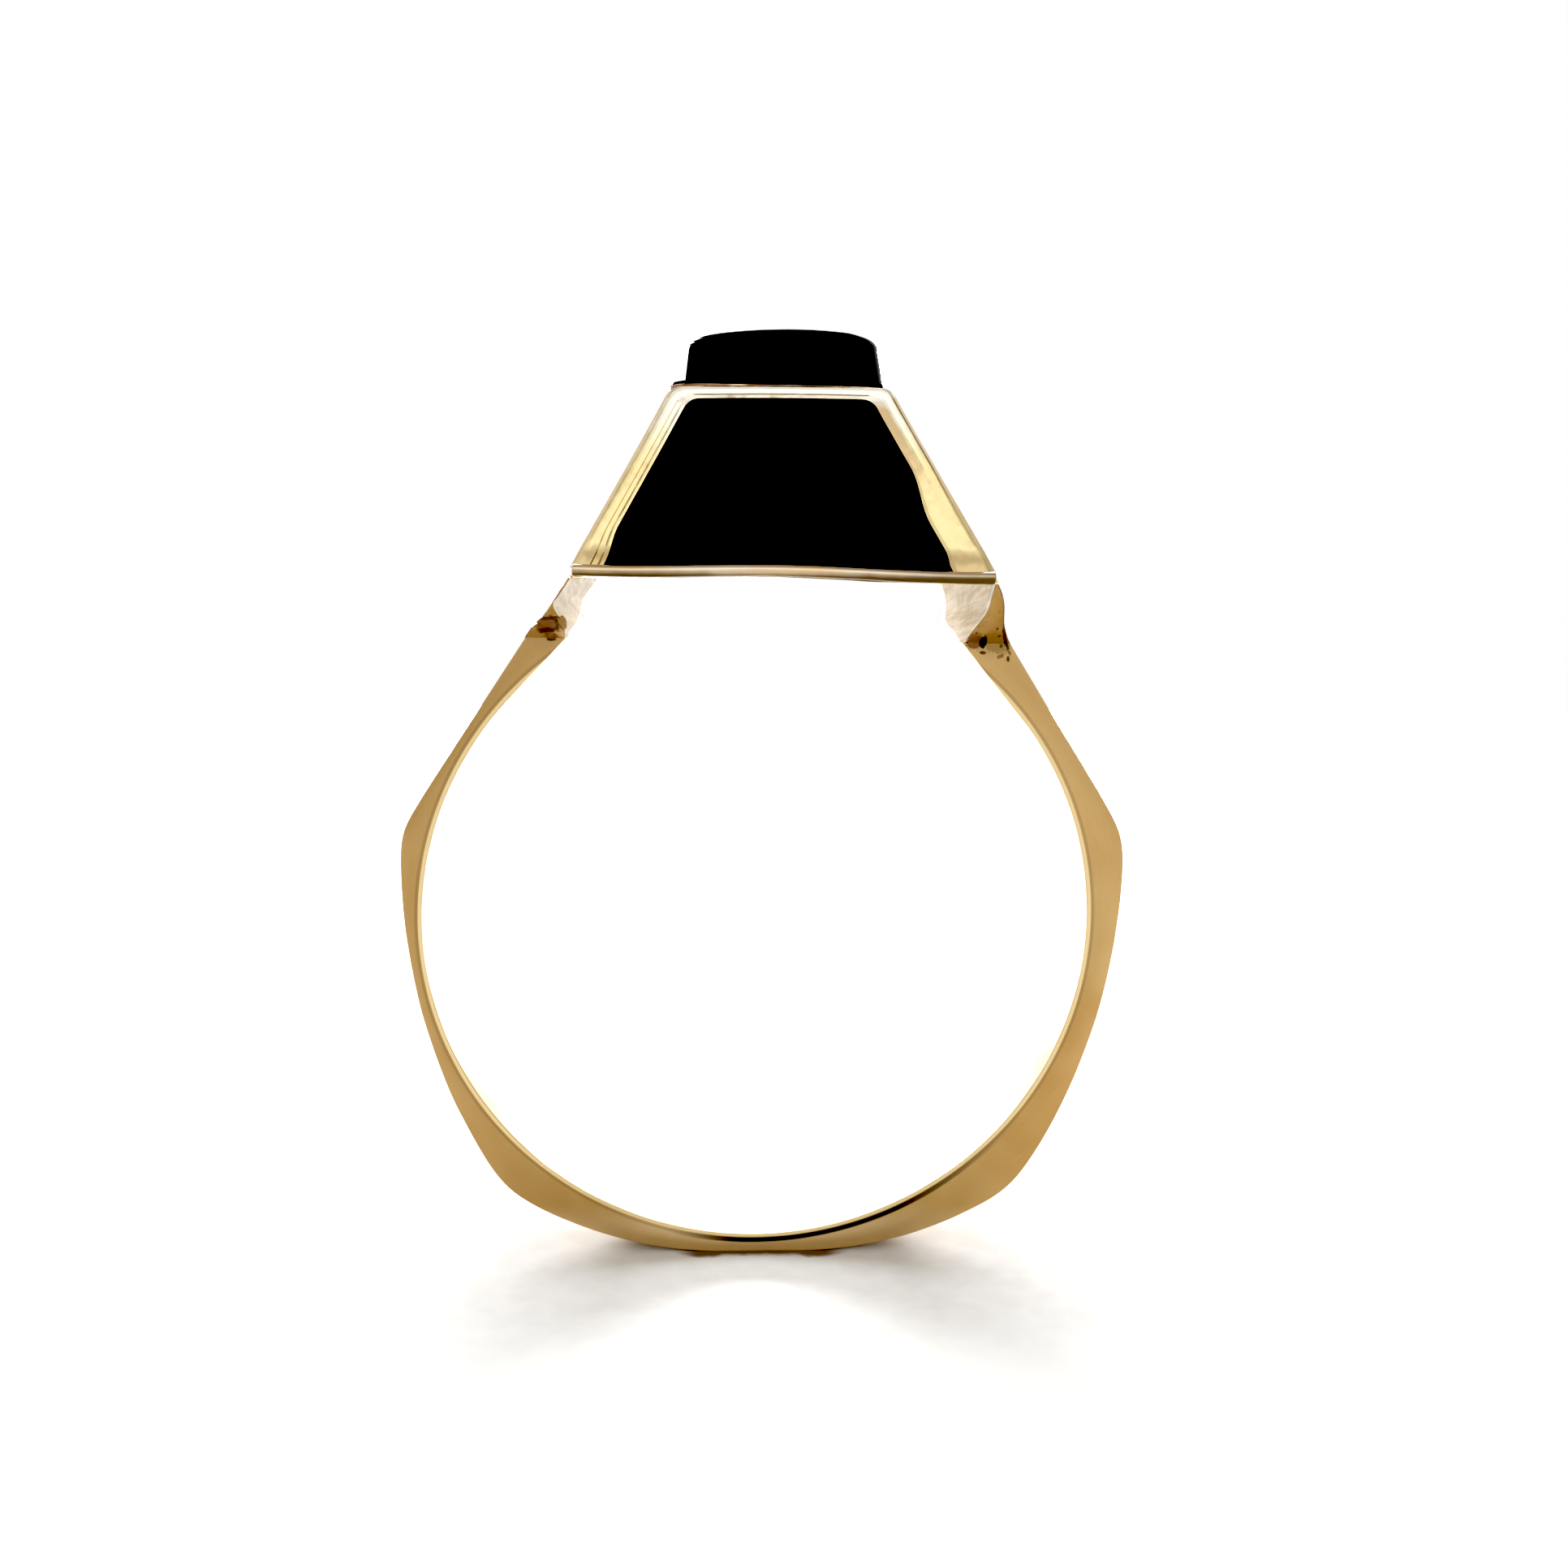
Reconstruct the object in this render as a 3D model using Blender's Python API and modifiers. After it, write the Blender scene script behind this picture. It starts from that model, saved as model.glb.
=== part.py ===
"""A signet ring built up from soldered gold pieces, with an onyx table and two onyx side panels.

Metres, +Z up. The finger goes through along Y and the table is on top. The origin is under the
middle of the shank, on the surface that the ring stands on.
"""

import math

import bmesh
import bpy
from mathutils import Matrix, Vector

MM = 0.001

# Fit between pieces that touch
FIT_GAP = 0.02 * MM

# Finger hole
FINGER_HOLE_DIAMETER = 17.35 * MM
FINGER_HOLE_SHIFT = -0.19 * MM      # the hand-filed hole sits a little left of the middle
HOLE_ROUND_TO = 40.0                # degrees up each side, where the round hole turns to straight sides
PALM_WALL = 0.50 * MM               # gold under the finger

# Shank outline: a flat to stand on, two palm arcs, two flanks and two straight upper sides
SIDE_WALL = 0.69 * MM               # mean gold beside the finger
PALM_FLAT_LENGTH = 2.0 * MM
PALM_ARC_RISE = 1.025 * MM          # centre of the palm arcs above the centre of the hole
PALM_CORNER_RADIUS = 2.5 * MM
FLANK_BACKSET = 7.14 * MM           # centre of a flank's arc past the middle of the ring
FLANK_RISE = 1.425 * MM             # centre of a flank's arc above the centre of the hole
SIDE_CORNER_RISE = 2.45 * MM        # widest corner above the centre of the hole
SIDE_CORNER_RADIUS = 1.5 * MM
JOINT_WALL = 1.03 * MM              # gold where the shank ends
SHANK_DEPTH_AT_PALM = 2.4 * MM
SHANK_DEPTH_AT_JOINT = 5.0 * MM
SHANK_EDGE = 0.12 * MM

# Shoulders and the solder that joins them to the shank
SHOULDER_HEIGHT = 1.32 * MM
SHOULDER_STEP = 0.14 * MM           # the shank stands this far out past the shoulder
SHOULDER_TOP_WALL = 0.24 * MM
SHOULDER_TOP_INSET = 0.10 * MM      # shoulder behind the front of the head
SHOULDER_EDGE = 0.06 * MM
SOLDER_THICKNESS = 0.12 * MM
SOLDER_PROUD = 0.05 * MM
SOLDER_EDGE = 0.04 * MM

# Head: a hollow box whose four sides slope in to the table
HEAD_CLEARANCE = 0.27 * MM          # base of the head above the finger hole
HEAD_SHIFT = 0.17 * MM              # the hand-soldered head sits a little right of the middle
HEAD_HEIGHT = 4.73 * MM             # base to rim
HEAD_BASE_WIDTH = 10.3 * MM
HEAD_BASE_LENGTH = 9.4 * MM
RIM_WIDTH = 5.27 * MM
RIM_LENGTH = 6.6 * MM
SIDE_PLATE_THICKNESS = 0.45 * MM
SIDE_PLATE_EDGE = 0.05 * MM

# Framed onyx panels on the front and back of the head
FRAME_THICKNESS = 0.45 * MM
FRAME_BAR = 0.70 * MM               # width of a side bar
FRAME_TOP_BAR = 0.33 * MM
FRAME_CORNER_RADIUS = 0.45 * MM
FRAME_FOOT_EXTRA = 0.26 * MM        # the right-hand bar widens below the middle of the window
FRAME_EDGE = 0.09 * MM
WINDOW_CORNER_RADIUS = 0.42 * MM
PANEL_RECESS = 0.12 * MM
PANEL_THICKNESS = 0.26 * MM
PANEL_EDGE = 0.04 * MM
BACKING_THICKNESS = 0.30 * MM
RAIL_HEIGHT = 0.34 * MM
RAIL_DEPTH = 0.50 * MM
RAIL_PROUD = 0.06 * MM
RAIL_EDGE = 0.06 * MM

# Table on top of the head
SEAT_THICKNESS = 0.28 * MM
SEAT_EDGE = 0.04 * MM
BEZEL_WIDTH = 5.46 * MM
BEZEL_HEIGHT = 0.34 * MM
BEZEL_LIP = 0.04 * MM               # bezel above the rim of the frames
BEZEL_WALL = 0.10 * MM
BEZEL_CORNER_RADIUS = 0.90 * MM
CEMENT_THICKNESS = 0.06 * MM
CEMENT_INSET = 0.12 * MM
TABLE_RISE = 1.41 * MM              # top of the stone above the rim of the frames
TABLE_TAPER = 0.17 * MM             # the stone's sides lean in by this much
TABLE_SHOULDER = 0.36 * MM          # radius of the stone's upper edge
TABLE_CROWN = 0.10 * MM             # rise of the slightly domed top
CROWN_POWER = 3                     # the top stays flat in the middle and falls off near its edge

# Smoothness of the round stretches
HOLE_STEPS = 96
ARC_STEPS = 14
CORNER_STEPS = 6
CROWN_STEPS = 4

# Heights and half sizes that follow from the sizes above
HOLE_RADIUS = FINGER_HOLE_DIAMETER / 2
HOLE_HEIGHT = PALM_WALL + HOLE_RADIUS
BASE_HEIGHT = HOLE_HEIGHT + HOLE_RADIUS + HEAD_CLEARANCE
RIM_HEIGHT = BASE_HEIGHT + HEAD_HEIGHT
FRAME_FOOT = BASE_HEIGHT + RAIL_HEIGHT + FIT_GAP
BEZEL_TOP = RIM_HEIGHT + BEZEL_LIP
BEZEL_BOTTOM = BEZEL_TOP - BEZEL_HEIGHT
SEAT_TOP = BEZEL_BOTTOM - FIT_GAP
SEAT_BOTTOM = SEAT_TOP - SEAT_THICKNESS
STONE_BOTTOM = SEAT_TOP + CEMENT_THICKNESS + 2 * FIT_GAP
SHOULDER_TOP = BASE_HEIGHT - FIT_GAP
SHOULDER_BOTTOM = SHOULDER_TOP - SHOULDER_HEIGHT
SOLDER_TOP = SHOULDER_BOTTOM - FIT_GAP
SOLDER_BOTTOM = SOLDER_TOP - SOLDER_THICKNESS
JOINT_HEIGHT = SOLDER_BOTTOM - FIT_GAP
HALF_SPAN = HOLE_RADIUS + SIDE_WALL
STAND_UP = Matrix.Rotation(math.pi / 2, 4, "X")
HALF_TURN = Matrix.Rotation(math.pi, 4, "Z")
HEAD_PLACE = Matrix.Translation((HEAD_SHIFT, 0, 0))


# Sizes that change with height

def between(height, low, high, at_low, at_high):
    """The value on a straight line from at_low, at height low, to at_high, at height high."""
    return at_low + (at_high - at_low) * (height - low) / (high - low)


def head_half_width(height):
    return between(height, BASE_HEIGHT, RIM_HEIGHT, HEAD_BASE_WIDTH / 2, RIM_WIDTH / 2)


def head_half_length(height):
    return between(height, BASE_HEIGHT, RIM_HEIGHT, HEAD_BASE_LENGTH / 2, RIM_LENGTH / 2)


def behind_frame(height):
    """Half length of what stands between the backs of the two frames."""
    return head_half_length(height) - FRAME_THICKNESS - FIT_GAP


def shank_half_depth(height):
    return between(height, 0, JOINT_HEIGHT, SHANK_DEPTH_AT_PALM / 2, SHANK_DEPTH_AT_JOINT / 2)


def hole_half_width(height):
    """Half width of the finger hole, above the height where its straight sides start."""
    round_to = math.radians(HOLE_ROUND_TO)
    above_round = height - HOLE_HEIGHT - HOLE_RADIUS * math.sin(round_to)
    return HOLE_RADIUS * math.cos(round_to) - above_round * math.tan(round_to)


JOINT_INSIDE = hole_half_width(JOINT_HEIGHT)
JOINT_OUTSIDE = JOINT_INSIDE + JOINT_WALL


# Outlines

def arc(centre, radius, start, end, steps):
    """Points along an arc, from angle start to angle end."""
    points = []
    for step in range(steps + 1):
        angle = start + (end - start) * step / steps
        points.append((centre[0] + radius * math.cos(angle), centre[1] + radius * math.sin(angle)))
    return points


def rounded(corners):
    """An outline whose corners, each (x, y, radius), are replaced by arcs where the radius isn't 0."""
    outline = []
    for index, (x, y, radius) in enumerate(corners):
        corner = Vector((x, y))
        if radius == 0:
            outline.append((x, y))
            continue
        before = (Vector(corners[index - 1][:2]) - corner).normalized()
        after = (Vector(corners[(index + 1) % len(corners)][:2]) - corner).normalized()
        half_angle = before.angle(after) / 2
        centre = corner + (before + after).normalized() * (radius / math.sin(half_angle))
        reach = radius / math.tan(half_angle)
        first = corner + before * reach - centre
        last = corner + after * reach - centre
        turn = math.remainder(math.atan2(last.y, last.x) - math.atan2(first.y, first.x), math.tau)
        start = math.atan2(first.y, first.x)
        outline += arc(centre, radius, start, start + turn, CORNER_STEPS)
    return outline


def sharp(points):
    return [(x, y, 0) for x, y in points]


def mirrored(corners):
    return [(-x, y, radius) for x, y, radius in reversed(corners)]


def rounded_rectangle(half_width, half_length, radius):
    return rounded([
        (half_width, half_length, radius),
        (-half_width, half_length, radius),
        (-half_width, -half_length, radius),
        (half_width, -half_length, radius),
    ])


def palm_corner():
    """Where the palm arc meets the flank's arc, on the right."""
    palm_centre = Vector((PALM_FLAT_LENGTH / 2, HOLE_HEIGHT + PALM_ARC_RISE))
    flank_centre = Vector((-FLANK_BACKSET, HOLE_HEIGHT + FLANK_RISE))
    palm_radius = palm_centre.y
    flank_radius = HALF_SPAN + FLANK_BACKSET
    across = palm_centre - flank_centre
    distance = across.length
    along = (distance ** 2 + flank_radius ** 2 - palm_radius ** 2) / (2 * distance)
    offset = math.sqrt(flank_radius ** 2 - along ** 2)
    across.normalize()
    return flank_centre + across * along + Vector((across.y, -across.x)) * offset


def shank_right_side():
    """The outside of the shank from the palm flat up to the right-hand joint."""
    corner = palm_corner()
    palm_centre = Vector((PALM_FLAT_LENGTH / 2, HOLE_HEIGHT + PALM_ARC_RISE))
    flank_centre = Vector((-FLANK_BACKSET, HOLE_HEIGHT + FLANK_RISE))
    flank_radius = HALF_SPAN + FLANK_BACKSET
    palm_end = math.atan2(corner.y - palm_centre.y, corner.x - palm_centre.x)
    flank_start = math.atan2(corner.y - flank_centre.y, corner.x - flank_centre.x)
    palm = arc(palm_centre, palm_centre.y, -math.pi / 2, palm_end, ARC_STEPS)
    flank = arc(flank_centre, flank_radius, flank_start, 0, ARC_STEPS)
    return (
        sharp(palm[:-2])
        + [(corner.x, corner.y, PALM_CORNER_RADIUS)]
        + sharp(flank[2:])
        + [(HALF_SPAN, HOLE_HEIGHT + SIDE_CORNER_RISE, SIDE_CORNER_RADIUS)]
        + [(JOINT_OUTSIDE, JOINT_HEIGHT, 0)]
    )


def finger_hole():
    """The finger hole from the right-hand joint, under the finger, to the left-hand joint."""
    centre = (FINGER_HOLE_SHIFT, HOLE_HEIGHT)
    start = math.radians(HOLE_ROUND_TO)
    under = arc(centre, HOLE_RADIUS, start, -math.pi - start, HOLE_STEPS)
    return [(JOINT_INSIDE, JOINT_HEIGHT)] + under + [(-JOINT_INSIDE, JOINT_HEIGHT)]


def window_corners(inset):
    """The framed window, from its left foot over the top to its right foot, drawn in by inset."""
    top = RIM_HEIGHT - FRAME_TOP_BAR
    middle = (FRAME_FOOT + top) / 2
    bar = FRAME_BAR + inset
    top_half_width = head_half_width(top) - bar
    return [
        (bar - head_half_width(FRAME_FOOT), FRAME_FOOT, 0),
        (-top_half_width, top - inset, WINDOW_CORNER_RADIUS),
        (top_half_width, top - inset, WINDOW_CORNER_RADIUS),
        (head_half_width(middle) - bar, middle, 0),
        (head_half_width(FRAME_FOOT) - bar - FRAME_FOOT_EXTRA, FRAME_FOOT, 0),
    ]


def frame_outline():
    foot_half_width = head_half_width(FRAME_FOOT)
    outside = [
        (foot_half_width, FRAME_FOOT, 0),
        (RIM_WIDTH / 2, RIM_HEIGHT, FRAME_CORNER_RADIUS),
        (-RIM_WIDTH / 2, RIM_HEIGHT, FRAME_CORNER_RADIUS),
        (-foot_half_width, FRAME_FOOT, 0),
    ]
    return rounded(outside + window_corners(0))


def backing_outline():
    top = SEAT_BOTTOM - FIT_GAP
    half_base = head_half_width(BASE_HEIGHT) - SIDE_PLATE_THICKNESS - FIT_GAP
    half_top = head_half_width(top) - SIDE_PLATE_THICKNESS - FIT_GAP
    return [(-half_base, BASE_HEIGHT), (half_base, BASE_HEIGHT), (half_top, top), (-half_top, top)]


def rail_outline():
    """Half-round section of a base rail: the round side is the front, at negative x."""
    front = -HEAD_BASE_LENGTH / 2 - RAIL_PROUD
    round_radius = RAIL_HEIGHT / 2
    middle = (front + round_radius, BASE_HEIGHT + round_radius)
    back = front + RAIL_DEPTH
    nose = arc(middle, round_radius, math.pi / 2, 3 * math.pi / 2, ARC_STEPS)
    return nose + [(back, BASE_HEIGHT), (back, BASE_HEIGHT + RAIL_HEIGHT)]


# Making solids

def clear_scene():
    for old in list(bpy.data.objects):
        bpy.data.objects.remove(old, do_unlink=True)
    for old in list(bpy.data.collections):
        bpy.data.collections.remove(old)


def new_material(name, colour, roughness, metallic):
    material = bpy.data.materials.new(name)
    material.use_nodes = True
    shader = material.node_tree.nodes["Principled BSDF"]
    shader.inputs["Base Color"].default_value = (*colour, 1)
    shader.inputs["Roughness"].default_value = roughness
    shader.inputs["Metallic"].default_value = metallic
    material.diffuse_color = (*colour, 1)
    return material


def new_piece(name, mesh, material, edge=0):
    """A named piece of the ring, with its sharp edges rounded by edge."""
    piece = bpy.data.objects.new(name, mesh)
    piece.data.materials.append(material)
    piece.data.shade_smooth()
    piece.data.set_sharp_from_angle(angle=math.radians(25))
    RING.objects.link(piece)
    if edge:
        rounding = piece.modifiers.new("rounded edges", "BEVEL")
        rounding.width = edge
        rounding.segments = 2
        rounding.limit_method = "ANGLE"
        rounding.angle_limit = math.radians(25)
    return piece


def flat_mesh(name, outlines, thickness, turn=Matrix.Identity(4)):
    """A plate of the given outlines, its middle in the XY plane before it is turned."""
    curve = bpy.data.curves.new(name, "CURVE")
    curve.dimensions = "2D"
    curve.fill_mode = "BOTH"
    curve.extrude = thickness / 2
    for outline in outlines:
        spline = curve.splines.new("POLY")
        spline.points.add(len(outline) - 1)
        spline.use_cyclic_u = True
        for point, (x, y) in zip(spline.points, outline):
            point.co = (x, y, 0, 1)
    drawn = bpy.data.objects.new(name, curve)
    RING.objects.link(drawn)
    mesh = bpy.data.meshes.new_from_object(drawn.evaluated_get(bpy.context.evaluated_depsgraph_get()))
    bpy.data.objects.remove(drawn, do_unlink=True)
    shape = bmesh.new()
    shape.from_mesh(mesh)
    bmesh.ops.remove_doubles(shape, verts=shape.verts, dist=0.0001 * MM)
    bmesh.ops.dissolve_limit(shape, angle_limit=math.radians(0.1), verts=shape.verts, edges=shape.edges)
    bmesh.ops.recalc_face_normals(shape, faces=shape.faces)
    bmesh.ops.transform(shape, matrix=turn, verts=shape.verts)
    shape.to_mesh(mesh)
    shape.free()
    return mesh


def slab_mesh(name, low, high, width_at, depth_at):
    """A six-sided block from height low to high, with its X and Y ranges given at each height."""
    shape = bmesh.new()
    bmesh.ops.create_cube(shape, size=1)
    for corner in shape.verts:
        height = high if corner.co.z > 0 else low
        across = width_at(height)
        along = depth_at(height)
        corner.co = (max(across) if corner.co.x > 0 else min(across),
                     max(along) if corner.co.y > 0 else min(along),
                     height)
    mesh = bpy.data.meshes.new(name)
    shape.to_mesh(mesh)
    shape.free()
    return mesh


def domed_mesh(name, rings):
    """A loft through outlines of equal length, each (height, points), closed at both ends."""
    shape = bmesh.new()
    loops = []
    for height, outline in rings:
        loops.append([shape.verts.new((x, y, height)) for x, y in outline])
    for lower, upper in zip(loops, loops[1:]):
        for index in range(len(lower)):
            before = index - 1
            shape.faces.new((lower[before], lower[index], upper[index], upper[before]))
    shape.faces.new(loops[0])
    shape.faces.new(loops[-1])
    bmesh.ops.recalc_face_normals(shape, faces=shape.faces)
    mesh = bpy.data.meshes.new(name)
    shape.to_mesh(mesh)
    shape.free()
    return mesh


def leaning_mesh(name, outline, thickness, depth):
    """An upright plate that leans with the front of the head, its front face depth behind it."""
    mesh = flat_mesh(name, [outline], thickness, STAND_UP)
    for corner in mesh.vertices:
        corner.co.y += depth + thickness / 2 - head_half_length(corner.co.z)
    return mesh


# Pieces of the shank

def make_shank():
    right = shank_right_side()
    hole = sharp(finger_hole())
    outline = rounded(right + hole + mirrored(right))
    mesh = flat_mesh("shank", [outline], SHANK_DEPTH_AT_JOINT, STAND_UP)
    for corner in mesh.vertices:
        corner.co.y = math.copysign(shank_half_depth(corner.co.z), corner.co.y)
    new_piece("shank", mesh, GOLD_SATIN, SHANK_EDGE)


def make_solder_seam(name, side):
    def across(height):
        return side * JOINT_INSIDE, side * (JOINT_OUTSIDE + SOLDER_PROUD)

    def along(height):
        half_depth = SHANK_DEPTH_AT_JOINT / 2 + SOLDER_PROUD
        return -half_depth, half_depth

    mesh = slab_mesh(name, SOLDER_BOTTOM, SOLDER_TOP, across, along)
    new_piece(name, mesh, SOLDER, SOLDER_EDGE)


def make_shoulder(name, side):
    def across(height):
        joint_outside = JOINT_OUTSIDE - SHOULDER_STEP
        head_outside = HEAD_BASE_WIDTH / 2 + side * HEAD_SHIFT
        head_inside = head_outside - SHOULDER_TOP_WALL
        outside = between(height, SHOULDER_BOTTOM, SHOULDER_TOP, joint_outside, head_outside)
        inside = between(height, SHOULDER_BOTTOM, SHOULDER_TOP, JOINT_INSIDE, head_inside)
        return side * inside, side * outside

    def along(height):
        head_half_depth = HEAD_BASE_LENGTH / 2 - SHOULDER_TOP_INSET
        half_depth = between(height, SHOULDER_BOTTOM, SHOULDER_TOP, SHANK_DEPTH_AT_JOINT / 2, head_half_depth)
        return -half_depth, half_depth

    mesh = slab_mesh(name, SHOULDER_BOTTOM, SHOULDER_TOP, across, along)
    new_piece(name, mesh, GOLD_SATIN, SHOULDER_EDGE)


# Pieces of the head, each made about the middle of the head and then set in its place

def make_head_side(name, side):
    def across(height):
        outside = head_half_width(height)
        return side * (outside - SIDE_PLATE_THICKNESS), side * outside

    def along(height):
        return -behind_frame(height), behind_frame(height)

    mesh = slab_mesh(name, BASE_HEIGHT, SEAT_BOTTOM - FIT_GAP, across, along)
    new_piece(name, mesh, GOLD_POLISHED, SIDE_PLATE_EDGE).matrix_world = HEAD_PLACE


def make_panel(which, turn):
    """The frame, stone, cement, backing plate and base rail of the front of the head, then turned."""
    cement_depth = PANEL_RECESS + PANEL_THICKNESS + FIT_GAP
    cement_thickness = FRAME_THICKNESS - cement_depth
    frame = leaning_mesh("panel_frame", frame_outline(), FRAME_THICKNESS, 0)
    stone = leaning_mesh("onyx_panel", rounded(window_corners(FIT_GAP)), PANEL_THICKNESS, PANEL_RECESS)
    cement_shape = rounded(window_corners(CEMENT_INSET))
    cement = leaning_mesh("panel_cement", cement_shape, cement_thickness, cement_depth)
    backing = leaning_mesh("panel_backing", backing_outline(), BACKING_THICKNESS, FRAME_THICKNESS + FIT_GAP)
    sideways = Matrix.Rotation(math.pi / 2, 4, "Z") @ STAND_UP
    rail = flat_mesh("base_rail", [rail_outline()], 2 * head_half_width(FRAME_FOOT), sideways)
    pieces = [
        new_piece("panel_frame_" + which, frame, GOLD_POLISHED, FRAME_EDGE),
        new_piece("onyx_panel_" + which, stone, ONYX, PANEL_EDGE),
        new_piece("panel_cement_" + which, cement, CEMENT),
        new_piece("panel_backing_" + which, backing, GOLD_ROUGH),
        new_piece("base_rail_" + which, rail, GOLD_SATIN, RAIL_EDGE),
    ]
    for piece in pieces:
        piece.matrix_world = HEAD_PLACE @ turn


def make_table_seat():
    def across(height):
        return -head_half_width(height), head_half_width(height)

    def along(height):
        return -behind_frame(height), behind_frame(height)

    mesh = slab_mesh("table_seat", SEAT_BOTTOM, SEAT_TOP, across, along)
    new_piece("table_seat", mesh, GOLD_POLISHED, SEAT_EDGE).matrix_world = HEAD_PLACE


def make_table_bezel():
    half_width = BEZEL_WIDTH / 2
    half_length = behind_frame(BEZEL_TOP)
    outside = rounded_rectangle(half_width, half_length, BEZEL_CORNER_RADIUS)
    inside = rounded_rectangle(half_width - BEZEL_WALL, half_length - BEZEL_WALL, BEZEL_CORNER_RADIUS - BEZEL_WALL)
    mesh = flat_mesh("table_bezel", [outside, inside], BEZEL_HEIGHT)
    mesh.transform(Matrix.Translation((0, 0, (BEZEL_BOTTOM + BEZEL_TOP) / 2)))
    new_piece("table_bezel", mesh, GOLD_POLISHED).matrix_world = HEAD_PLACE


def stone_outline(inset):
    """Plan of the table stone, inside its bezel, drawn in by inset."""
    shrink = BEZEL_WALL + FIT_GAP + inset
    half_width = BEZEL_WIDTH / 2 - shrink
    half_length = behind_frame(BEZEL_TOP) - shrink
    return rounded_rectangle(half_width, half_length, BEZEL_CORNER_RADIUS - BEZEL_WALL - FIT_GAP)


def make_table_stone():
    stone_top = RIM_HEIGHT + TABLE_RISE
    edge_top = stone_top - TABLE_CROWN
    edge_bottom = edge_top - TABLE_SHOULDER
    rings = [(STONE_BOTTOM, stone_outline(0)), (BEZEL_TOP, stone_outline(0))]
    for step in range(CROWN_STEPS + 1):
        angle = math.pi / 2 * step / CROWN_STEPS
        drawn_in = TABLE_TAPER + TABLE_SHOULDER * (1 - math.cos(angle))
        rings.append((edge_bottom + TABLE_SHOULDER * math.sin(angle), stone_outline(drawn_in)))
    flat_top = stone_outline(TABLE_TAPER + TABLE_SHOULDER)
    for step in range(1, CROWN_STEPS):
        spread = 1 - step / CROWN_STEPS
        height = edge_top + TABLE_CROWN * (1 - spread ** CROWN_POWER)
        rings.append((height, [(x * spread, y * spread) for x, y in flat_top]))
    new_piece("onyx_table", domed_mesh("onyx_table", rings), ONYX).matrix_world = HEAD_PLACE

    cement = flat_mesh("table_cement", [stone_outline(CEMENT_INSET)], CEMENT_THICKNESS)
    middle = SEAT_TOP + FIT_GAP + CEMENT_THICKNESS / 2
    cement.transform(Matrix.Translation((0, 0, middle)))
    new_piece("table_cement", cement, CEMENT).matrix_world = HEAD_PLACE


clear_scene()
RING = bpy.data.collections.new("signet_ring")
bpy.context.scene.collection.children.link(RING)

GOLD_SATIN = new_material("satin gold", (0.68, 0.44, 0.17), 0.32, 1)
GOLD_POLISHED = new_material("polished gold", (0.80, 0.58, 0.26), 0.14, 1)
GOLD_ROUGH = new_material("unpolished gold", (0.66, 0.56, 0.42), 0.55, 1)
SOLDER = new_material("darkened solder", (0.24, 0.13, 0.05), 0.50, 1)
ONYX = new_material("black onyx", (0.006, 0.006, 0.007), 0.08, 0)
CEMENT = new_material("stone cement", (0.05, 0.045, 0.04), 0.70, 0)

make_shank()
for word, sign in (("left", -1), ("right", 1)):
    make_solder_seam("solder_seam_" + word, sign)
    make_shoulder("shoulder_" + word, sign)
    make_head_side("head_side_" + word, sign)
make_panel("front", Matrix.Identity(4))
make_panel("back", HALF_TURN)
make_table_seat()
make_table_bezel()
make_table_stone()
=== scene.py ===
"""Signet ring: finishes, hand-worked shapes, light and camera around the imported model, in mm."""

import math

import bmesh
import bpy
from mathutils import Matrix, Vector


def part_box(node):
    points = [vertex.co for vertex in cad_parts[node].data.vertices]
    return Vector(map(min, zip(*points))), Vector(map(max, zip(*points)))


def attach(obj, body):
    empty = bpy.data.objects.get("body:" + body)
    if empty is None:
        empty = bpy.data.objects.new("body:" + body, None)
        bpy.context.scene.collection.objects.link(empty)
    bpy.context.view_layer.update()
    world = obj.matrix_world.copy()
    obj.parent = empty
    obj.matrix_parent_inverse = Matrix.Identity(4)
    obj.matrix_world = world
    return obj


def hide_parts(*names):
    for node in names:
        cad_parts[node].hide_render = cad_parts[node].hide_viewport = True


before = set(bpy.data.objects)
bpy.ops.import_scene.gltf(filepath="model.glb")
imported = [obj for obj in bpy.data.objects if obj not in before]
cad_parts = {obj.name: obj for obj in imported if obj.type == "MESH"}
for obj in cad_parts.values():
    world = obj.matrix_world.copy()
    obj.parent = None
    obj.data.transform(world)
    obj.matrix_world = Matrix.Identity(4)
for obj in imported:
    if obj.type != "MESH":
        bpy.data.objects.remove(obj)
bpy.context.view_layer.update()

MM = 0.001


def box_mm(node):
    """Lowest and highest corner of a CAD node, in millimetres."""
    low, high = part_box(node)
    return low / MM, high / MM


# Places taken from the frame

SHANK_HIGH = box_mm("shank")[1]
SIDE_LOW = box_mm("head_side_right")[0]
FRAME_LOW, FRAME_HIGH = box_mm("panel_frame_front")
RAIL_LOW, RAIL_HIGH = box_mm("base_rail_front")
TABLE_LOW, TABLE_HIGH = box_mm("onyx_table")
BEZEL_LOW, BEZEL_HIGH = box_mm("table_bezel")

RIM_LOWERED = 0.08
HEAD_MIDDLE = (RAIL_LOW.x + RAIL_HIGH.x) / 2
HEAD_FOOT = SIDE_LOW.z
HEAD_RIM = FRAME_HIGH.z - RIM_LOWERED
JOINT = SHANK_HIGH.z

# Hoop. A ruffle is the size and the depth of the unevenness that hand work leaves.

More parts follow.
